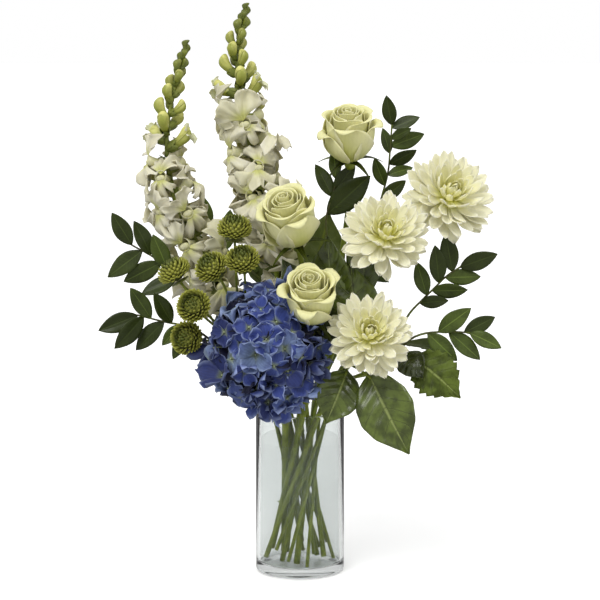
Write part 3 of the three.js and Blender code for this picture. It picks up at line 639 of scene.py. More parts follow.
def hydrangea_head(settings):
    """The blue mophead: florets of four sepals all over the ball, and a second layer in its depth in painted shade."""
    piece = Piece("hydrangea_petals")
    roll = dice(7)
    centre, radii = Vector(HYDRANGEA_CENTRE), Vector(HYDRANGEA_RADII)
    stem = Vector((0.3, 0.45, -0.84)).normalized()
    length, half = 1000 * settings.sepal_length, 500 * settings.sepal_width
    for layer, (every, depth) in enumerate(FLORET_LAYERS):
        count = settings.florets // every
        for i in range(count):
            height = 1 - 2 * (i + 0.5) / count
            flat, around = math.sqrt(1 - height**2), i * GOLDEN_ANGLE + layer
            out = Vector((flat * math.cos(around), flat * math.sin(around), height))
            if out.dot(stem) > STEM_CLEARING:
                continue
            reach = Vector(o * r for o, r in zip(out, radii))
            seat = centre + reach * (roll(*depth) + 0.09 * waver(out, 3, 1.6))
            normal = Vector(o / r for o, r in zip(out, radii)).normalized() + tumble(roll) * FLORET_TUMBLE
            place = placing(seat, normal, tumble(roll))
            slope, bend, cup = 0.05 + 1.05 * roll(0, 1) ** 2, roll(-0.75, -0.1), roll(-0.1, 0.9)
            # The deep layer's tint is above 1, so its sepals take the near black painted shade; outer florets darken
            # towards it by chance.
            size, tint = roll(0.68, 1.16), roll(0, 1) ** 0.7 + layer
            up = place.to_3x3() @ UP
            for lobe in range(4):
                side = place.to_3x3() @ spoke(lobe * math.pi / 2 + roll(-0.14, 0.14))
                root = seat + side * 0.8 - up * (1.4 * (lobe % 2))
                piece.sheet(placing(root, side, up), (5, 5), sepal_shape(
                    length * size * roll(0.88, 1.1), half * size * roll(0.88, 1.1), slope + roll(-0.3, 0.3), bend,
                    cup + roll(-0.2, 0.2), roll(0, 99)), tint)
            piece.knob(place @ Matrix.Translation((0, 0, 0.5)), (1.25, 1.25, 1.2), (6, 4), tint=tint, finish=1)
            inside = centre + reach * 0.4
            piece.tube(Route([inside, seat.lerp(inside, 0.4), seat - up * 1.6]), 0.7, 4, 12, tint, finish=1)
    sepals = petal_finish(
        "hydrangea_sepal", settings.sepal_colour, settings.edge_and_highlight_colour, settings.heart_colour, (-0.1, 0.26),
        (0.3, 1.25), lines=7, roughness=0.6, glow=0.04, inner=settings.pale_colour, other=settings.deep_shade_colour,
        shade=0.5)
    eye = stem_finish("hydrangea_eye", settings.heart_colour, EYE_LIGHT, EYE_DARK)
    piece.done("hydrangea", [sepals, eye], "hydrangea_head")


# ---- Roses ----------------------------------------------------------------------------------------

ROSE_PETALS = 16
# A bloom of size 1: how far its base lies below its centre, how wide its heart and its outer petals are, and how high
# its outer petals and its heart stand.
ROSE_DEPTH = 36
ROSE_HEART, ROSE_SPREAD = 2.6, 37.5
ROSE_HEIGHT, ROSE_RISE = 48, 24


def rose_petal(lip_radius, lip_height, spread, roll_size, roll_turn, drop, point, seed):
    """One petal round the bloom's axis: a cup that rises from the base, and a lip that rolls outwards to a point."""
    wall = lip_radius - roll_size * (1 - math.cos(min(roll_turn, math.pi)))
    start = max(lip_radius * 0.1, 1.5)

    def shape(across, along):
        side = abs(across)
        v = along * (1 - drop * side ** 2.4 + point * (max(0, 1 - side / 0.4) - 0.4))
        straight = 0.76
        t = min(v / straight, 1.0)
        r = start + (wall - start) * (1 - (1 - t) ** 2.3)
        z = 2 + (lip_height - roll_size - 2) * (0.2 * t + 0.8 * t**1.6)
        if v > straight:
            turn = (roll_turn * (v - straight) / (1 - straight) * (0.72 + 0.5 * min(side / 0.5, 1))
                    * (1 - 0.6 * side ** 4))
            r += roll_size * (1 - math.cos(turn))
            z += roll_size * math.sin(turn)
        r += waver((across * 1.2, along, 0), seed, 1.3) * 0.07 * lip_radius * along
        z += waver((across * 1.5, 0, along), seed + 5, 1.5) * 2.2 * along
        r *= 1 + 0.09 * across
        if side > 0.6:
            r += (side - 0.6) ** 2 * 3.5 * roll_size * along
        around = across * spread * (0.62 + 0.38 * min(along * 1.6, 1))
        return Vector((r * math.cos(around), r * math.sin(around), z))
    return shape


def rose_bloom(settings, name, seed):
    """A half open rose: petals turned round one another, from the rolled outer ones to the tight heart."""
    centre, axis, size, _ = bloom_of(ROSES, name)
    bloom = placing(centre - axis * ROSE_DEPTH * size, axis, UP) @ Matrix.Scale(size, 4)
    piece = Piece(f"{name}_petals")
    roll = dice(seed)
    for i in range(ROSE_PETALS):
        inner = i / (ROSE_PETALS - 1)
        radius = ROSE_SPREAD * (1 - inner ** 1.25) + ROSE_HEART
        height = ROSE_HEIGHT + ROSE_RISE * inner ** 0.5
        place = bloom @ Matrix.Rotation(0.9 * seed + i * GOLDEN_ANGLE + roll(-0.25, 0.25), 4, "Z")
        piece.sheet(place, (18, 16), rose_petal(
            radius + roll(-1.2, 1.2), height + roll(-1.5, 1.5), math.radians(62 + 75 * inner), 1.2 + 5.2 * (1 - inner),
            math.radians(50 + 78 * (1 - inner)), 0.42 - 0.3 * inner, 0.36 * (1 - inner) + 0.05, roll(0, 99)),
            inner, thickness=0.6)
    skin = petal_finish(
        "rose_petal", settings.body_colour, settings.rim_colour, settings.heart_colour, (0.1, 0.85), (0.5, 1.2),
        lines=16, roughness=0.5, glow=0.22, shade=0.92)
    piece.done("rose", [skin], f"{name}_bloom")


def rose_stem(name, finishes):
    """A rose's stem with its thorns, its hip and the five sepals under the bloom."""
    centre, axis, size, radius = bloom_of(ROSES, name)
    base = centre - axis * (ROSE_DEPTH + 1) * size
    route = stem_route(name, radius, base, axis)
    hip = placing(base - axis * 3, axis, UP)
    piece = Piece(f"{name}_green")
    roll = dice(len(name) * 31)
    for i in range(5):
        out = (hip.to_3x3() @ spoke(math.radians(20 + 72 * i), 0.12)).normalized()
        twist = roll(-0.4, 0.4)

        def sepal(across, along, twist=twist):
            width = 4.6 * (1 - along) ** 0.8 * min(along * 6 + 0.5, 1) + 0.15
            side = across * width
            lift = 3 * math.sin(math.pi * along) - 10 * along**2 + abs(across) * width * 0.25
            return Vector((side + twist * 10 * along**2, lift, 34 * along))
        piece.sheet(placing(base + out * 3, out, axis), (4, 10), sepal, roll(0, 1), finish=1)
    piece.tube(
        route, lambda share: radius * (1.12 - 0.12 * share + 0.06 * waver((share * 9, 0, 0), radius, 1)), 12, 7)
    piece.knob(hip, (6.2, 6.2, 7), (12, 8))
    for i in range(9):
        share = 0.12 + 0.08 * i
        place = placing(route.at(share), route.along(share), UP)
        out = place.to_3x3() @ spoke(i * GOLDEN_ANGLE, -0.25)
        thorn = Route([route.at(share) + out * radius * 0.7, route.at(share) + out * (radius + 3)])
        piece.tube(thorn, lambda s: 1.5 * (1 - s) + 0.15, 6, 2)
    piece.done("stem", finishes, f"{name}_stem")


# ---- Chrysanthemums -------------------------------------------------------------------------------

# How far the rays reach, by their tilt from the bloom's axis in degrees.
MUM_REACH = ((0, 18), (28, 28), (54, 40), (80, 47.5), (108, 46))


def ray_shape(length, half, arch_up, tip_curl, trough, seed):
    """A ray floret: narrow at the root, broad and trough-shaped, with a blunt tip."""
    def shape(across, along):
        width = half * round_width(along, 0.66, 0.5, 0.4, 0.12)
        lift = (-arch_up * math.sin(math.pi * along) + tip_curl * along**2.5) * length
        lift += trough * width * across**2 * (1 - 0.5 * along)
        lift += waver((across, along * 2, 0), seed, 1.2) * 0.045 * length
        notch = 0.04 * math.exp(-(across / 0.3) ** 2) * smooth(0.8, 1, along)
        return Vector((across * width, lift, length * along * (1 - notch)))
    return shape


def mum_bloom(settings, name, seed):
    """A double chrysanthemum: ray florets in one spiral, from those folded over its heart to the open ones."""
    centre, axis, size, _ = bloom_of(MUMS, name)
    bloom = placing(centre - axis * 6 * size, axis, UP) @ Matrix.Scale(size, 4)
    piece = Piece(f"{name}_petals")
    roll = dice(seed)
    for i in range(settings.rays):
        rank = (i + 0.5) / settings.rays
        tilt = 4 + 105 * rank ** 0.8
        lean, around = math.radians(abs(tilt + roll(-8, 8))), i * GOLDEN_ANGLE + roll(-0.12, 0.12)
        out, inward = dome(lean, around)
        inward += Vector((-math.sin(around), math.cos(around), 0)) * roll(-0.25, 0.25)
        reach = table(MUM_REACH, tilt) * roll(0.92, 1.05)
        root = 4 + 3 * rank
        half = (1.8 + 5.2 * rank ** 0.6) * roll(0.9, 1.08)
        piece.sheet(bloom @ placing(out * root, out, inward), (4, 9), ray_shape(
            reach - root, half, 0.1 + 0.05 * rank, 0.2 * (1 - rank) ** 2 + roll(-0.05, 0.08), 0.5, roll(0, 99)),
            rank, thickness=0.6)
    piece.knob(bloom @ Matrix.Translation((0, 0, 2)), (9, 9, 9), (12, 8))
    skin = petal_finish(
        "chrysanthemum_ray", settings.body_colour, settings.rim_colour, settings.heart_colour, (-0.05, 0.5),
        (0.6, 1.3), lines=6, roughness=0.6, glow=0.25, inner=settings.inner_colour, shade=0.94)
    piece.done("mum", [skin], f"{name}_bloom")


def mum_stem(name, finishes):
    """A chrysanthemum's stem and the green cup of bracts under its bloom."""
    centre, axis, size, radius = bloom_of(MUMS, name)
    top = centre - axis * 13 * size
    piece = Piece(f"{name}_green")
    cup = placing(top, axis, UP)
    for i in range(16):
        place = cup @ placing(UP * -3, spoke(i * GOLDEN_ANGLE, 0.5 + 0.03 * i).normalized(), UP)
        piece.sheet(place, (2, 4), lambda across, along: Vector((
            across * 3.2 * round_width(along, 0.45), -2 * along**2, 11 * along)), 0.3, finish=1)
    piece.tube(stem_route(name, radius, top, axis), radius, 10, 7)
    piece.knob(cup, (8, 8, 4.5), (12, 6))
    piece.done("stem", finishes, f"{name}_stem")


# ---- Snapdragons ----------------------------------------------------------------------------------

CALYX_GREENS = screen(96, 108, 38), screen(142, 150, 66), screen(52, 62, 20)
BUD_LIP = screen(222, 224, 186)


def round_spike(route, low, high, count, lean, seed, crowding=1.0):
    """Places round a spike, each with its own way out, and its rank from the lowest. The lean is the rise of
    the lowest and of the highest one."""
    roll = dice(seed)
    made = []
    for i in range(count):
        rank = (i + 0.5) / count
        share = low + (high - low) * rank**crowding
        seat, up = route.at(share), route.along(share)
        around = i * GOLDEN_ANGLE + roll(-0.3, 0.3)
        rise = lean[0] + (lean[1] - lean[0]) * rank + roll(-0.25, 0.25)
        made.append((placing(seat, beside(seat, up, around, rise), up), rank))
    return made


def spike_parts(name):
    """The routes of a spike's open part and of its budded part."""
    stops, cut = SNAPDRAGONS[name]
    whole = through(stops)
    return whole.part(0, cut), whole.part(cut + CLEARANCE / whole.length, 0.98)


def lip_shape(length, spread, back, ruffle, notches, seed):
    """A lip of the flower's mouth: its lobes joined in one fan that bends back, crumpled, and frilled at its rim."""
    def shape(across, along):
        notch = sum(math.exp(-((across - middle) / 0.1) ** 2) for middle in notches)
        reach = length * (1 - 0.16 * across**2 - 0.4 * notch + 0.14 * waver((across * 7, 0, 0), seed + 9, 1))
        distance = 5 + (reach - 5) * along
        fan = across * spread * (0.75 + 0.25 * along)
        bend = back * along * (1 + 0.5 * waver((across * 2, 0, 0), seed + 4, 1.3))
        frill = ruffle * along**1.2 * (
            1.7 * waver((across * 2.6, along * 1.2, 0), seed, 1.3) + 0.45 * math.sin(across * 9 + seed * 3)
            + 0.45 * along * math.sin(across * 19 + seed * 5))
        out = distance * math.sin(bend) / max(bend, 0.01)
        drop = distance * (1 - math.cos(bend)) / max(bend, 0.01)
        return Vector((out * math.sin(fan), frill - drop, out * math.cos(fan)))
    return shape


# A flower's upper and lower lip: where its middle is round the mouth, its length, half its spread, how far forward it
# starts and how far it bends back from there, the angles in degrees, and the notches between its lobes.
FLOWER_LIPS = ((90, 33, 74, 34, 54, (0,)), (270, 32, 88, 26, 70, (-0.36, 0.36)))


def calyx(piece, place, reach, spread, blade, tint):
    """The five green blades that hold a flower or bud at its root."""
    for i in range(5):
        out = spoke(i * 2 * math.pi / 5)
        piece.sheet(place @ placing(out * reach, out * spread + UP, out), (2, 4), blade, tint, finish=1)


def snapdragon_flowers(settings, name, seed):
    """The open flowers: a tube, an upper lip that stands up, a lower one that hangs, and its swelling between them."""
    route = spike_parts(name)[0]
    piece = Piece(f"{name}_petals")
    roll = dice(seed + 500)
    for place, rank in round_spike(route, 0.0, 1.0, SPIKE_FLOWERS, (-0.25, 0.45), seed):
        size = (1.24 - 0.34 * rank) * roll(0.9, 1.06)
        tube = 25 * size
        mouth = (place @ Matrix.Translation((0, 0, tube)) @ Matrix.Rotation(roll(-0.45, 0.45), 4, "Z")
                 @ Matrix.Rotation(roll(-0.3, 0.5), 4, "X"))
        for middle, length, spread, forward, back, notches in FLOWER_LIPS:
            turn, start = math.radians(middle + roll(-10, 10)), math.radians(forward + roll(-22, 18))
            out = spoke(turn)
            way = out * math.cos(start) + UP * math.sin(start)
            front = UP * math.cos(start) - out * math.sin(start)
            piece.sheet(mouth @ placing(out * 2.5 * size, way, front), (22, 9), lip_shape(
                length * size * roll(0.88, 1.1), math.radians(spread * roll(0.9, 1.1)),
                math.radians(back + roll(-40, 40)), 8 * size, notches, roll(0, 99)), roll(0.3, 1), thickness=0.45)
        piece.sheet(place, (14, 6), lambda across, along, tube=tube, size=size: Vector((
            (2.4 + 4.4 * along) * size * math.sin(across * math.pi),
            -(2.4 + 4.8 * along) * size * math.cos(across * math.pi) - 1.5 * math.sin(math.pi * along),
            tube * (0.02 + 1.02 * along))), 0.1)
        piece.knob(
            place @ Matrix.Translation((0, -2 * size, tube)), (6 * size, 4 * size, 3.4 * size), (14, 9),
            lambda local, along, around, size=size: local - UP * (1.4 * size * math.exp(-(local.x / size / 1.6) ** 2)),
            tint=0.05)
        calyx(piece, place, 2.4, 0.3, lambda across, along: Vector((
            across * 3.2 * round_width(along, 0.4), 0.6 + 0.8 * along, 11 * along)), 0.5)
    piece.tube(route, 3.2, 8, 8, finish=1)
    skin = petal_finish(
        "snapdragon_petal", settings.body_colour, settings.rim_colour, settings.throat_colour, (-0.1, 0.5), (0.6, 1.3),
        lines=8, roughness=0.6, glow=0.2, inner=settings.throat_colour, shade=0.9)
    piece.done("snapdragon", [skin, stem_finish("snapdragon_calyx", *CALYX_GREENS)], f"{name}_flowers")


def bud_skin(settings):
    """A bud's skin, from green at its calyx to cream at its lips; the small ones stay green. A painted highlight
    makes its upper side creamier.
    """
    finish = Finish("snapdragon_bud")
    along, tint = finish.mark("along"), finish.mark("tint")
    # Painted highlight: the side of the bud that faces up the spike is made creamier than the side below.
    above = (finish.mark("across") * math.pi).sine() * 0.45 + 0.55
    cream = finish.blend(along.between(0.15, 0.75) * above, settings.bud_green, settings.bud_cream)
    colour = finish.blend((tint * 1.3 - along * 0.3).between(0.2, 0.85), cream, settings.tip_green)
    mottle = finish.cloud(160.0, 3.0)
    colour = finish.blend(mottle.between(0.4, 0.75) * 0.5, colour, settings.bud_green)
    return finish.surface({
        "Base Color": colour,
        "Roughness": mottle * 0.15 + 0.42,
        "Normal": finish.bump(streaks(finish, 5) + mottle, 0.0004, 0.6),
        "Subsurface Weight": 0.1, "Subsurface Radius": (1.0, 0.9, 0.5), "Subsurface Scale": 0.002,
    })


def snapdragon_buds(settings, name, seed):
    """The buds above the flowers: folded lips at the end of a short tube, smaller and greener towards the tip
    of the spike, and the lowest ones half open."""
    route = spike_parts(name)[1]
    piece = Piece(f"{name}_green_buds")
    roll = dice(seed + 900)
    for place, rank in round_spike(route, 0.02, 0.97, SPIKE_BUDS, (0.25, 2.0), seed, 0.85):
        length, radius = (37 - 27 * rank**0.8) * roll(0.88, 1.1), (8.1 - 4.0 * rank) * roll(0.94, 1.06)

        def tube(local, along, around, length=length, radius=radius):
            crease = math.exp(-((math.sin(around) + 0.2) / 0.2) ** 2) * smooth(0.45, 0.75, along)
            swell = ((0.62 + 0.38 * smooth(0.15, 0.8, along)) * (1 + 0.9 * max(2 * along - 1, 0) ** 2)
                     * (1 - 0.32 * crease))
            hood = 1 + 0.25 * smooth(0.55, 0.9, along) * max(math.sin(around), 0)
            bow = 0.2 * length * along**2
            return Vector((local.x * swell, local.y * swell * hood + bow, local.z + length * 0.48))

        piece.knob(place, (radius * 0.86, radius * 0.88, length * 0.46), (18, 16), tube, tint=rank)
        if rank < 0.12:
            for turn in (60, 120, 215, 325):
                out = spoke(math.radians(turn))
                root = out * radius * 0.35 + Vector((0, 0.1, 0.72)) * length
                piece.sheet(place @ placing(root, out * 0.5 + UP, UP * 0.5 - out), (8, 6), lip_shape(
                    13, math.radians(48), math.radians(45), 2, (), roll(0, 99)), 0.0, finish=2, thickness=0.4)
        calyx(piece, place, 2.4 - 1.3 * rank, 0.32, lambda across, along, size=length: Vector((
            across * 0.13 * size * round_width(along, 0.4), 0.03 * size - 0.05 * size * along**2,
            0.44 * size * along)), rank)
    piece.tube(route, lambda share: 2.6 - 1.4 * share, 8, 6, finish=1)
    white = petal_finish(
        "snapdragon_bud_lip", BUD_LIP, settings.rim_colour, settings.throat_colour, (-0.1, 0.4), (0.5, 1.2),
        lines=8, roughness=0.6, glow=0.1)
    green = stem_finish("snapdragon_bud_calyx", *CALYX_GREENS)
    piece.done("bud", [bud_skin(settings), green, white], f"{name}_buds")


def snapdragon_stem(name, finishes):
    """A snapdragon's stem below its flowers, and the narrow leaves near its top."""
    route = spike_parts(name)[0]
    start, up = route.at(0), route.along(0)
    top = start - up * CLEARANCE
    piece = Piece(f"{name}_green")
    for i in range(4):
        root = top - up * (10 + 9 * i)
        out = beside(root, up, 1 + i * GOLDEN_ANGLE, 0.6)
        piece.sheet(placing(root, out.normalized(), up), (6, 10), lambda across, along: Vector((
            across * 5 * round_width(along, 0.4), 4 * math.sin(math.pi * along) - 8 * along**2 + abs(across) * 1.2,
            47 * along)), 0.5, finish=1)
    piece.stalk(stem_route(name, 3, top, up), 3, 10, (0.07, 0.19, 0.3, 0.5))
    piece.done("stem", finishes, f"{name}_stem")


# ---- Button chrysanthemums ------------------------------------------------------------------------

def button_head(settings, index):
    """A pompon of short incurved florets, packed in one spiral."""
    centre, facing = BUTTONS[index]
    axis = Vector(facing).normalized()
    head = placing(Vector(centre) - axis * 2, axis, UP)
    piece = Piece(f"button_{index + 1}_florets")
    roll = dice(300 + index)
    for i in range(settings.florets):
        rank = (i + 0.5) / settings.florets
        lean, around = math.radians(4 + 112 * rank ** 0.62 + roll(-3, 3)), i * GOLDEN_ANGLE
        out, inward = dome(lean, around, BUTTON_FLATNESS)
        length = (4.5 + 4.5 * rank ** 0.5) * roll(0.9, 1.1)
        root = BUTTON_RADIUS * 1.04 - length * (1 - 0.25 * (1 - rank))
        half = 1.15 + 0.7 * rank ** 0.5

        def floret(across, along, length=length, half=half, rank=rank):
            width = half * round_width(along, 0.66, 0.5, 0.4, 0.3)
            lift = 0.55 * length * (1 - 0.5 * rank) * along**2 - 0.14 * length * math.sin(math.pi * along)
            return Vector((across * width, lift + 0.8 * width * across**2, length * along))
        piece.sheet(head @ placing(out * root, out.normalized(), inward), (2, 4), floret, rank)
    core = BUTTON_RADIUS * 0.66
    piece.knob(head, (core, core, BUTTON_RADIUS * BUTTON_FLATNESS * 0.7), (14, 9), tint=0.2)
    for i in range(10):
        bract = placing(UP * (2.5 - BUTTON_RADIUS * BUTTON_FLATNESS), spoke(i * 2 * math.pi / 10, -0.25), -UP)
        piece.sheet(head @ bract, (2, 4), lambda across, along: Vector((
            across * 3 * round_width(along, 0.5), -1.5 * along**2, 11 * along)), 0.4, finish=1)
    finish = Finish("button_floret")
    along, tint = finish.mark("along"), finish.mark("tint")
    # Painted shade: each floret darkens to near black at its root, where the florets crowd; the mottle darkens towards
    # it at random.
    colour = finish.blend(along.between(0.1, 0.8), settings.root_shade_colour, settings.tip_colour)
    colour = finish.blend(1 - tint.between(0.05, 0.3), colour, settings.heart_colour)
    mottle = finish.cloud(180.0, 3.0)
    colour = finish.blend(mottle.between(0.4, 0.75) * 0.4, colour, settings.root_shade_colour)
    skin = finish.surface({
        "Base Color": colour,
        "Roughness": mottle * 0.15 + 0.5,
        "Normal": finish.bump(mottle, 0.0003, 0.6),
        "Subsurface Weight": 0.1, "Subsurface Radius": (1.0, 0.9, 0.4), "Subsurface Scale": 0.001,
    })
    piece.done("button", [skin, stem_finish("button_bract", *CALYX_GREENS)], f"button_head_{index + 1}")


def button_stems(finishes):
    """The stem that the six button heads share, and the stalk of each."""
    fork, arrival = Vector(BUTTON_FORK), Vector((-0.55, -0.3, 0.8))
    piece = Piece("button_stalks")
    piece.stalk(stem_route("buttons", 2.1, fork, arrival), 2.1, 10, (0.13, 0.3))
    start = fork - arrival.normalized() * 4
    for centre, facing in BUTTONS:
        axis = Vector(facing).normalized()
        top = Vector(centre) - axis * (2 + BUTTON_RADIUS * BUTTON_FLATNESS)
        reach = 0.35 * (fork - top).length
        piece.tube(arch(start, fork.lerp(top, 0.3), top - axis * reach, top), 1.4, 8, 7)
    piece.done("stem", finishes, "button_stems")


def hydrangea_stem(finishes):
    """The hydrangea's thick stem, which ends inside the head."""
    end = Vector(HYDRANGEA_CENTRE) + Vector((6, 16, -24))
    piece = Piece("hydrangea_stalk")
    piece.stalk(stem_route("hydrangea", 4, end, Vector((-0.3, -0.6, 0.8))), 4.2, 14, (0.18, 0.5), taper=0.1)
    piece.done("stem", finishes, "hydrangea_stem")


# ---- Foliage --------------------------------------------------------------------------------------

def huckleberry_leaf(length, half, fold, curl, seed):
    """A small oval leaf, folded along its midrib and curled."""
    def shape(across, along):
        width = half * round_width(along, 0.47, 0.8, 0.05, 0.02)
        lift = -curl * length * along**2 + fold * abs(across) * width
        lift += waver((across, along * 2, 0), seed, 1.2) * 0.02 * length
        return Vector((across * width, lift, length * along))
    return shape


def huckleberry_spray(name, seed, finishes):
    """A branch of small dark leaves on red brown twigs."""
    fork, facing, twigs = HUCKLEBERRY[name]
    join, arrival = Vector(fork), Vector(twigs[0][0][0]) - Vector(fork)
    roll, more = dice(seed), dice(seed + 700)
    start = join - arrival.normalized() * 4
    piece = Piece(f"{name}_leaves")
    routes = []
    for stops, leaves in twigs:
        route = through([start, *stops])
        routes.append(route)
        for share, *tip in leaves:
            root = route.at(min(share, 0.995))
            along = Vector(tip) - root
            tipped = Vector(facing) + Vector((roll(-0.45, 0.45), 0, roll(-0.45, 0.45)))
            piece.sheet(placing(root, along, tipped), (6, 12), huckleberry_leaf(
                along.length, along.length * 0.23, more(0.1, 0.3), more(0.0, 0.12), more(0, 99)),
                more(0, 1), finish=1, underside=1)
    piece.stalk(stem_route(name, 2, join, arrival), 2, 10, (0.1, 0.25, 0.42))
    for route in routes:
        piece.tube(route, lambda share: 1.5 - 0.5 * share, 7, 6, finish=3)
    piece.done("huckleberry", finishes, name)


# A large leaf's half width by the share of its length.
SALAL_OUTLINE = (
    (0, 0.03), (0.05, 0.34), (0.12, 0.62), (0.3, 0.93), (0.48, 1), (0.68, 0.78), (0.84, 0.38), (0.94, 0.13), (1, 0.01))
TEETH, TOOTH_DEPTH = 8.5, 0.24


def salal_leaf(length, half, toothed, seed):
    """A large leaf, arched, quilted between its veins and waved."""
    def shape(across, along):
        side = abs(across)
        width = half * table(SALAL_OUTLINE, along)
        if toothed:
            width *= 1 + TOOTH_DEPTH * (abs((along * TEETH) % 1 - 0.5) * 2 - 0.5) * side
        lift = 6 * math.sin(math.pi * along) - 2 + 0.16 * width * side
        lift += 2.4 * math.sin((along * 7 - side * 1.6) * 2 * math.pi) * side * (1 - side) * 2
        lift += (waver((across * 1.3, along * 2.2, 0), seed, 1.1) * 5 * side
                 + waver((across * 3, along * 7, 0), seed, 1) * 1.1)
        back = 0.06 * length * side * math.sin(math.pi * along)
        return Vector((across * width, lift, length * along + back * 0.4))
    return shape


def salal_branch(name, finishes):
    """A branch of large leathery leaves. The finishes are the stem's, and those of a leaf's two sides, first of the
    plain leaves and then of the toothed one."""
    top, leaves = SALAL[name]
    end = Vector(top)
    outward = Vector((end.x, end.y, 60))
    start = end - outward.normalized() * 4
    piece = Piece(f"{name}_leaves")
    stalks = []
    for i, (base, tip, facing, half) in enumerate(leaves):
        root, along = Vector(base), Vector(tip) - Vector(base)
        toothed = (name, i) == TOOTHED_LEAF
        # Painted shade: the back leaves, and the later leaves of the front branch in part, take a high tint that
        # darkens them.
        painted_shade = 0.1 * i if name == "salal_front" or toothed else 0.8
        piece.sheet(
            placing(root, along, Vector(facing)), (14, 26), salal_leaf(along.length, half, toothed, i + len(name)),
            painted_shade, finish=3 if toothed else 1, thickness=0.6, underside=1)
        stalks.append(arch(start, start.lerp(root, 0.3), end.lerp(root, 0.7), root + along.normalized() * 6))
    piece.stalk(stem_route(name, 2.1, end, outward), 2.1, 10, (0.15, 0.36))
    for stalk in stalks:
        piece.tube(stalk, 1.4, 7, 5)
    piece.done("salal", finishes, name)


# ---- Vase and water -------------------------------------------------------------------------------

# Lower than real glass has, so that the stems show clearly through it.
GLASS_INDEX = 1.27


def turned(name, profile, rounded):
    """A turned body: its profile spun round Z, and its chosen corners rounded."""
    piece = Piece(name)
    points = [piece.mesh.verts.new((r, 0, z)) for r, z in profile]
    edges = [piece.mesh.edges.new(pair) for pair in zip(points, points[1:])]
    bmesh.ops.spin(piece.mesh, geom=points + edges, cent=(0, 0, 0), axis=(0, 0, 1), angle=2 * math.pi, steps=96,
                   use_merge=True)
    bmesh.ops.remove_doubles(piece.mesh, verts=piece.mesh.verts, dist=0.001)
    bmesh.ops.recalc_face_normals(piece.mesh, faces=piece.mesh.faces)
    for (r, z), size, segments in rounded:
        ring = [e for e in piece.mesh.edges if all(
            abs(math.hypot(p.co.x, p.co.y) - r) < 0.01 and abs(p.co.z - z) < 0.01 for p in e.verts)]
        bmesh.ops.bevel(
            piece.mesh, geom=ring, offset=size, affect="EDGES", segments=segments, profile=0.5, material=-1)
    for face in piece.mesh.faces:
        face.smooth = True
    return piece


def vase(settings):
    """The glass cylinder: a thick floor, hollowed a little under its foot, and rounded lips."""
    inner = VASE_RADIUS - VASE_WALL
    piece = turned("glass_cylinder", (
        (0, 1.2), (VASE_RADIUS - 12, 1.2), (VASE_RADIUS - 7, 0), (VASE_RADIUS, 0), (VASE_RADIUS, VASE_HEIGHT),
        (inner, VASE_HEIGHT), (inner, VASE_FLOOR), (0, VASE_FLOOR)), (
        ((VASE_RADIUS, 0), 3.5, 4), ((VASE_RADIUS, VASE_HEIGHT), 1.7, 4), ((inner, VASE_HEIGHT), 1.7, 4),
        ((inner, VASE_FLOOR), 5, 5)))
    finish = Finish("clear_glass")
    glass = finish.surface({
        "Base Color": (*settings.glass_colour, 1),
        "Roughness": finish.cloud(9.0, 1.0) * 0.012,
        "Normal": finish.bump(finish.cloud(14.0, 1.0), 0.0006, 0.12),
        "Transmission Weight": 1.0,
        "IOR": GLASS_INDEX,
    })
    piece.done("glass", [glass], "vase")


def water(settings):
    """The water, whose edge climbs the glass. Only its top shows; its side is nearly clear."""
    outer, bottom = VASE_RADIUS - VASE_WALL - 0.1, VASE_FLOOR - 0.1
    piece = turned("vase_water", (
        (0, bottom), (outer, bottom), (outer, WATER_TOP + 1.6), (outer - 0.7, WATER_TOP + 0.7),
        (outer - 2.6, WATER_TOP), (0, WATER_TOP)), (((outer, bottom), 5, 5),))
    finish = Finish("water")
    normal = finish.node("ShaderNodeNewGeometry", output="Normal")
    level = finish.node("ShaderNodeSeparateXYZ", {}, {"Vector": normal}, output="Z")
    clear = finish.surface({
        "Base Color": (*settings.water_colour, 1),
        "Roughness": 0.03,
        "Alpha": level.between(0.2, 0.9) * 0.16 + 0.004,
        "Normal": finish.bump(finish.cloud(30.0, 1.0), 0.0004, 0.1),
        "IOR": 1.333,
    })
    piece.done("water", [clear], "water")


# ---- Settings -------------------------------------------------------------------------------------

def colour(name, description, red, green, blue):
    return FloatVectorProperty(
        name=name, description=description, subtype="COLOR", size=3, min=0, max=1, default=screen(red, green, blue))


class VaseSettings(bpy.types.PropertyGroup):
    glass_colour: colour("Glass", "Colour of the glass", 227, 230, 229)
    water_colour: colour("Water", "Colour of the water", 208, 220, 216)


class GreenSettings(bpy.types.PropertyGroup):
    stem_colour: colour("Stem", "Main green of the stems", 104, 118, 26)
    stem_light: colour("Pale stem", "Paler patches of the stems", 146, 158, 54)
    stem_dark: colour("Dark stem", "Dark streaks along the stems", 44, 54, 10)
    huckleberry_colour: colour("Huckleberry", "Green of the huckleberry leaves", 82, 97, 40)
    twig_colour: colour("Twig", "Brown of the huckleberry twigs", 62, 54, 34)
    salal_colour: colour("Salal", "Green of the large leaves", 96, 111, 44)
    salal_vein: colour("Salal vein", "Veins of the large leaves", 132, 144, 80)


class HydrangeaSettings(bpy.types.PropertyGroup):
    florets: IntProperty(name="Florets", description="Florets on the outside of the head", default=98, min=20, max=200)
    sepal_length: FloatProperty(
        name="Sepal length", description="Length of one sepal", default=0.0195, min=0.005, max=0.04, unit="LENGTH")
    sepal_width: FloatProperty(
        name="Sepal width", description="Width of one sepal", default=0.0218, min=0.005, max=0.04, unit="LENGTH")
    sepal_colour: colour("Sepal", "Blue of the sepals", 54, 71, 144)
    # Partly the sepals' own paler margin, partly a painted highlight on their edges and tips.
    edge_and_highlight_colour: colour("Edge", "Blue of the sepals' edges", 150, 166, 212)
    # Painted shade: the near black blue that stands for the shade in the depth of the head.
    deep_shade_colour: colour("Deep shade", "Painted shade of the deepest sepals", 18, 21, 54)
    pale_colour: colour("Young", "Green tinged blue of the youngest sepals", 136, 156, 176)
    heart_colour: colour("Heart", "Pale green at a floret's heart", 160, 172, 126)


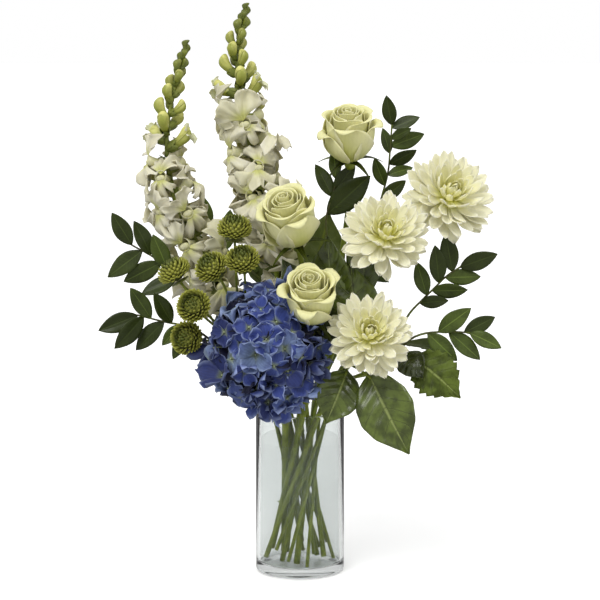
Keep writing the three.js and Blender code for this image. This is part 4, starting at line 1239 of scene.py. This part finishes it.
class RoseSettings(bpy.types.PropertyGroup):
    body_colour: colour("Petal", "Ivory of the petals", 233, 230, 172)
    rim_colour: colour("Rim", "Colour of the petals' rims", 236, 232, 188)
    heart_colour: colour("Root", "Green tinged root of the petals", 196, 200, 96)


class MumSettings(bpy.types.PropertyGroup):
    rays: IntProperty(name="Ray florets", description="Ray florets of one bloom", default=96, min=20, max=200)
    body_colour: colour("Ray", "White of the rays", 248, 245, 214)
    rim_colour: colour("Tip", "Colour of the rays' tips", 249, 245, 222)
    heart_colour: colour("Root", "Yellow green root of the rays", 226, 225, 60)
    inner_colour: colour("Heart", "Pale yellow of the rays in the middle", 240, 236, 88)


class SnapdragonSettings(bpy.types.PropertyGroup):
    body_colour: colour("Petal", "White of the open flowers", 222, 217, 190)
    rim_colour: colour("Frill", "Colour of the frilled rims", 230, 225, 206)
    throat_colour: colour("Throat", "Green tinged throat", 190, 192, 100)
    bud_green: colour("Bud", "Lime green of the buds", 138, 146, 46)
    bud_cream: colour("Bud lips", "Cream of the buds' lips", 224, 221, 132)
    tip_green: colour("Tip", "Darker green of the smallest buds", 92, 102, 30)


class ButtonSettings(bpy.types.PropertyGroup):
    florets: IntProperty(name="Florets", description="Florets of one button head", default=150, min=30, max=300)
    tip_colour: colour("Floret tip", "Lime green of the florets' tips", 172, 174, 70)
    # Painted shade: near black green at the florets' roots, between them.
    root_shade_colour: colour("Floret root", "Green between the florets", 22, 26, 4)
    heart_colour: colour("Heart", "Green of the middle of a head", 88, 98, 26)


class StageSettings(bpy.types.PropertyGroup):
    distance: FloatProperty(
        name="Camera distance", description="From the camera to the vase, on the level", default=2.2, min=1, max=5,
        unit="LENGTH")
    height: FloatProperty(
        name="Camera height", description="Height of the camera", default=0.592, min=0, max=2, unit="LENGTH")
    tilt: FloatProperty(
        name="Camera tilt", description="How far down the camera looks", default=math.radians(7.34), min=0, max=1,
        subtype="ANGLE")
    lens: FloatProperty(name="Lens", description="Focal length in millimetres", default=118.68, min=20, max=300)
    floor_colour: colour("Floor", "Pale floor", 250, 250, 250)


# ---- Operators ------------------------------------------------------------------------------------

# Each light: its name, its kind, its place, its angle or its size, and its power.
LIGHTS = (
    ("key_light", "SUN", (-0.4, -0.85, 1.45), math.radians(34), 1.6),
    ("fill_light", "AREA", (1.9, -1.5, 1.1), 1.4, 6),
)
LIGHTS_AIM = Vector((0, 0, 0.35))
# How bright the white room is behind the bouquet, from straight down, 0, over the level, 0.5, to straight up, 1.
ROOM_LIGHT = ((0.0, 0.5), (0.46, 0.5), (0.475, 1.0), (0.53, 1.0), (0.6, 0.75), (1.0, 0.75))
# How bright it is on the camera's side, and where one side turns into the other.
FRONT_LIGHT = (0.66, 0.66, 0.66)
FRONT_TO_BACK = (-0.1, 0.3)
FLOOR_SIZE, FLOOR_DROP, FLOOR_GLOW = 60, 0.0003, 0.25


def studio_floor(scene, settings):
    """The pale floor, which lights nothing and isn't mirrored in the glass."""
    ground = bmesh.new()
    bmesh.ops.create_grid(ground, x_segments=4, y_segments=4, size=FLOOR_SIZE)
    bmesh.ops.translate(ground, vec=(0, 0, -FLOOR_DROP), verts=ground.verts)
    shape = bpy.data.meshes.new("floor")
    ground.to_mesh(shape)
    ground.free()
    finish = Finish("pale_floor")
    grey = tuple(0.97 * c for c in settings.floor_colour)
    shape.materials.append(finish.surface({
        "Base Color": finish.blend(finish.cloud(3.0), settings.floor_colour, grey),
        "Roughness": 0.7,
        "Specular IOR Level": 0.2,
        "Emission Color": (1, 1, 1, 1),
        "Emission Strength": FLOOR_GLOW,
    }))
    floor = bpy.data.objects.new("floor", shape)
    scene.collection.objects.link(floor)
    floor.visible_diffuse = floor.visible_glossy = False


def studio_lights(scene):
    """The two soft lights, and the white room that lights the rest."""
    for name, kind, place, size, power in LIGHTS:
        lamp = bpy.data.lights.new(name, kind)
        lamp.energy = power
        setattr(lamp, "angle" if kind == "SUN" else "size", size)
        light = bpy.data.objects.new(name, lamp)
        light.matrix_world = placing(Vector(place), Vector(place) - LIGHTS_AIM, UP)
        scene.collection.objects.link(light)
    world = bpy.data.worlds.new("white_room")
    world.use_nodes = True
    scene.world = world
    room = Nodes(world.node_tree)
    way = room.node("ShaderNodeTexCoord", output="Generated")
    rise, back = (room.node("ShaderNodeSeparateXYZ", {}, {"Vector": way}, output=axis) for axis in "ZY")
    behind = room.node("ShaderNodeValToRGB", {"stops": ROOM_LIGHT}, {"Fac": rise * 0.5 + 0.5})
    side = room.node("ShaderNodeMapRange", {}, {
        "Value": back, "From Min": FRONT_TO_BACK[0], "From Max": FRONT_TO_BACK[1]})
    light = room.blend(side, FRONT_LIGHT, behind)
    room.tree.links.new(light.socket, room.tree.nodes["Background"].inputs["Color"])
    scene.view_settings.view_transform = "Standard"


def studio_camera(scene, settings):
    camera = bpy.data.cameras.new("camera")
    camera.lens, camera.sensor_width = settings.lens, 36
    viewer = bpy.data.objects.new("camera", camera)
    viewer.matrix_world = Matrix.Translation((0, -settings.distance, settings.height)) @ Matrix.Rotation(
        math.pi / 2 - settings.tilt, 4, "X")
    scene.collection.objects.link(viewer)
    scene.camera = viewer


class Step:
    """What the operators share."""
    bl_options = {"REGISTER", "UNDO"}


class BOUQUET_OT_vase(Step, bpy.types.Operator):
    """Model the glass cylinder and the water in it"""
    bl_idname = "bouquet.vase"
    bl_label = "Vase and water"

    def execute(self, context):
        vase(context.scene.bouquet_vase)
        water(context.scene.bouquet_vase)
        return {"FINISHED"}


class BOUQUET_OT_stems(Step, bpy.types.Operator):
    """Model the green stems of all the flowers"""
    bl_idname = "bouquet.stems"
    bl_label = "Stems"

    def execute(self, context):
        green = context.scene.bouquet_green
        colours = green.stem_colour, green.stem_light, green.stem_dark
        finishes = [stem_finish("green_stem", *colours), leaf_finish("stem_leaf", *colours, 0.5, veins=5)]
        hydrangea_stem(finishes)
        button_stems(finishes)
        for names, stem in ((ROSES, rose_stem), (MUMS, mum_stem), (SNAPDRAGONS, snapdragon_stem)):
            for name in names:
                stem(name, finishes)
        return {"FINISHED"}


class BOUQUET_OT_hydrangea(Step, bpy.types.Operator):
    """Model the blue hydrangea head"""
    bl_idname = "bouquet.hydrangea"
    bl_label = "Hydrangea"

    def execute(self, context):
        hydrangea_head(context.scene.bouquet_hydrangea)
        return {"FINISHED"}


class BOUQUET_OT_roses(Step, bpy.types.Operator):
    """Model the three ivory roses"""
    bl_idname = "bouquet.roses"
    bl_label = "Roses"

    def execute(self, context):
        for seed, name in enumerate(ROSES, 101):
            rose_bloom(context.scene.bouquet_rose, name, seed)
        return {"FINISHED"}


class BOUQUET_OT_mums(Step, bpy.types.Operator):
    """Model the three white chrysanthemums"""
    bl_idname = "bouquet.mums"
    bl_label = "Chrysanthemums"

    def execute(self, context):
        for seed, name in enumerate(MUMS, 201):
            mum_bloom(context.scene.bouquet_mum, name, seed)
        return {"FINISHED"}


class BOUQUET_OT_snapdragons(Step, bpy.types.Operator):
    """Model the open flowers and the buds of the two snapdragon spikes"""
    bl_idname = "bouquet.snapdragons"
    bl_label = "Snapdragons"

    def execute(self, context):
        for i, name in enumerate(SNAPDRAGONS):
            snapdragon_flowers(context.scene.bouquet_snapdragon, name, 20 + i)
            snapdragon_buds(context.scene.bouquet_snapdragon, name, 40 + i)
        return {"FINISHED"}


class BOUQUET_OT_buttons(Step, bpy.types.Operator):
    """Model the six green button chrysanthemums"""
    bl_idname = "bouquet.buttons"
    bl_label = "Button chrysanthemums"

    def execute(self, context):
        for index in range(len(BUTTONS)):
            button_head(context.scene.bouquet_button, index)
        return {"FINISHED"}


class BOUQUET_OT_foliage(Step, bpy.types.Operator):
    """Model the huckleberry and salal branches"""
    bl_idname = "bouquet.foliage"
    bl_label = "Foliage"

    def execute(self, context):
        green = context.scene.bouquet_green
        small, large, vein = green.huckleberry_colour, green.salal_colour, green.salal_vein
        stem = stem_finish("branch_stem", green.stem_colour, green.stem_light, green.stem_dark)
        dark = tuple(c * 0.55 for c in small)
        pale = tuple(c * 1.9 for c in small)
        leaf = leaf_finish("huckleberry_leaf", small, pale, dark, 0.38, veins=11, depth=0.0003)
        under = leaf_finish("huckleberry_underside", pale, vein, small, 0.6, veins=11, depth=0.0003)
        twig = stem_finish("huckleberry_twig", green.twig_colour, green.stem_colour, dark)
        for seed, name in enumerate(HUCKLEBERRY, 60):
            huckleberry_spray(name, seed, [stem, leaf, under, twig])
        # Dark green for the salal leaves' random mottle, and for the painted shade of leaves of a high tint.
        mottle_and_shade = tuple(c * 0.4 for c in large)
        broad = leaf_finish("salal_leaf", large, vein, mottle_and_shade, 0.36, depth=0.0025, gloss=0.6, shine=0.16)
        back = leaf_finish("salal_underside", vein, green.stem_light, large, 0.6)
        rough = leaf_finish("toothed_leaf", large, vein, mottle_and_shade, 0.55, depth=0.002, gloss=0.04, shine=0.1)
        for name in SALAL:
            salal_branch(name, [stem, broad, back, rough, back])
        return {"FINISHED"}


class BOUQUET_OT_stage(Step, bpy.types.Operator):
    """Set up the pale floor, the soft lights and the camera"""
    bl_idname = "bouquet.stage"
    bl_label = "Floor, lights and camera"

    def execute(self, context):
        studio_floor(context.scene, context.scene.bouquet_stage)
        studio_lights(context.scene)
        studio_camera(context.scene, context.scene.bouquet_stage)
        return {"FINISHED"}


class BOUQUET_PT_panel(bpy.types.Panel):
    """Lists the pieces of the bouquet and their settings"""
    bl_idname = "BOUQUET_PT_panel"
    bl_label = "Hydrangeas in a vase"
    bl_space_type = "VIEW_3D"
    bl_region_type = "UI"
    bl_category = "Bouquet"

    def draw(self, context):
        for step, settings in STEPS:
            box = self.layout.box()
            box.operator(step.bl_idname)
            if settings:
                group = getattr(context.scene, settings)
                for name in group.__annotations__:
                    box.prop(group, name)


SETTINGS = {
    "bouquet_vase": VaseSettings,
    "bouquet_green": GreenSettings,
    "bouquet_hydrangea": HydrangeaSettings,
    "bouquet_rose": RoseSettings,
    "bouquet_mum": MumSettings,
    "bouquet_snapdragon": SnapdragonSettings,
    "bouquet_button": ButtonSettings,
    "bouquet_stage": StageSettings,
}
STEPS = (
    (BOUQUET_OT_vase, "bouquet_vase"),
    (BOUQUET_OT_stems, "bouquet_green"),
    (BOUQUET_OT_hydrangea, "bouquet_hydrangea"),
    (BOUQUET_OT_roses, "bouquet_rose"),
    (BOUQUET_OT_mums, "bouquet_mum"),
    (BOUQUET_OT_snapdragons, "bouquet_snapdragon"),
    (BOUQUET_OT_buttons, "bouquet_button"),
    (BOUQUET_OT_foliage, None),
    (BOUQUET_OT_stage, "bouquet_stage"),
)


def register():
    for group in SETTINGS.values():
        bpy.utils.register_class(group)
    for step, _ in STEPS:
        bpy.utils.register_class(step)
    bpy.utils.register_class(BOUQUET_PT_panel)
    for name, group in SETTINGS.items():
        setattr(bpy.types.Scene, name, PointerProperty(type=group))


def unregister():
    for name in SETTINGS:
        delattr(bpy.types.Scene, name)
    bpy.utils.unregister_class(BOUQUET_PT_panel)
    for step, _ in reversed(STEPS):
        bpy.utils.unregister_class(step)
    for group in reversed(SETTINGS.values()):
        bpy.utils.unregister_class(group)


def main():
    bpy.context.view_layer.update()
    register()
    for step, _ in STEPS:
        area, name = step.bl_idname.split(".")
        getattr(getattr(bpy.ops, area), name)()


if __name__ == "__main__":
    main()
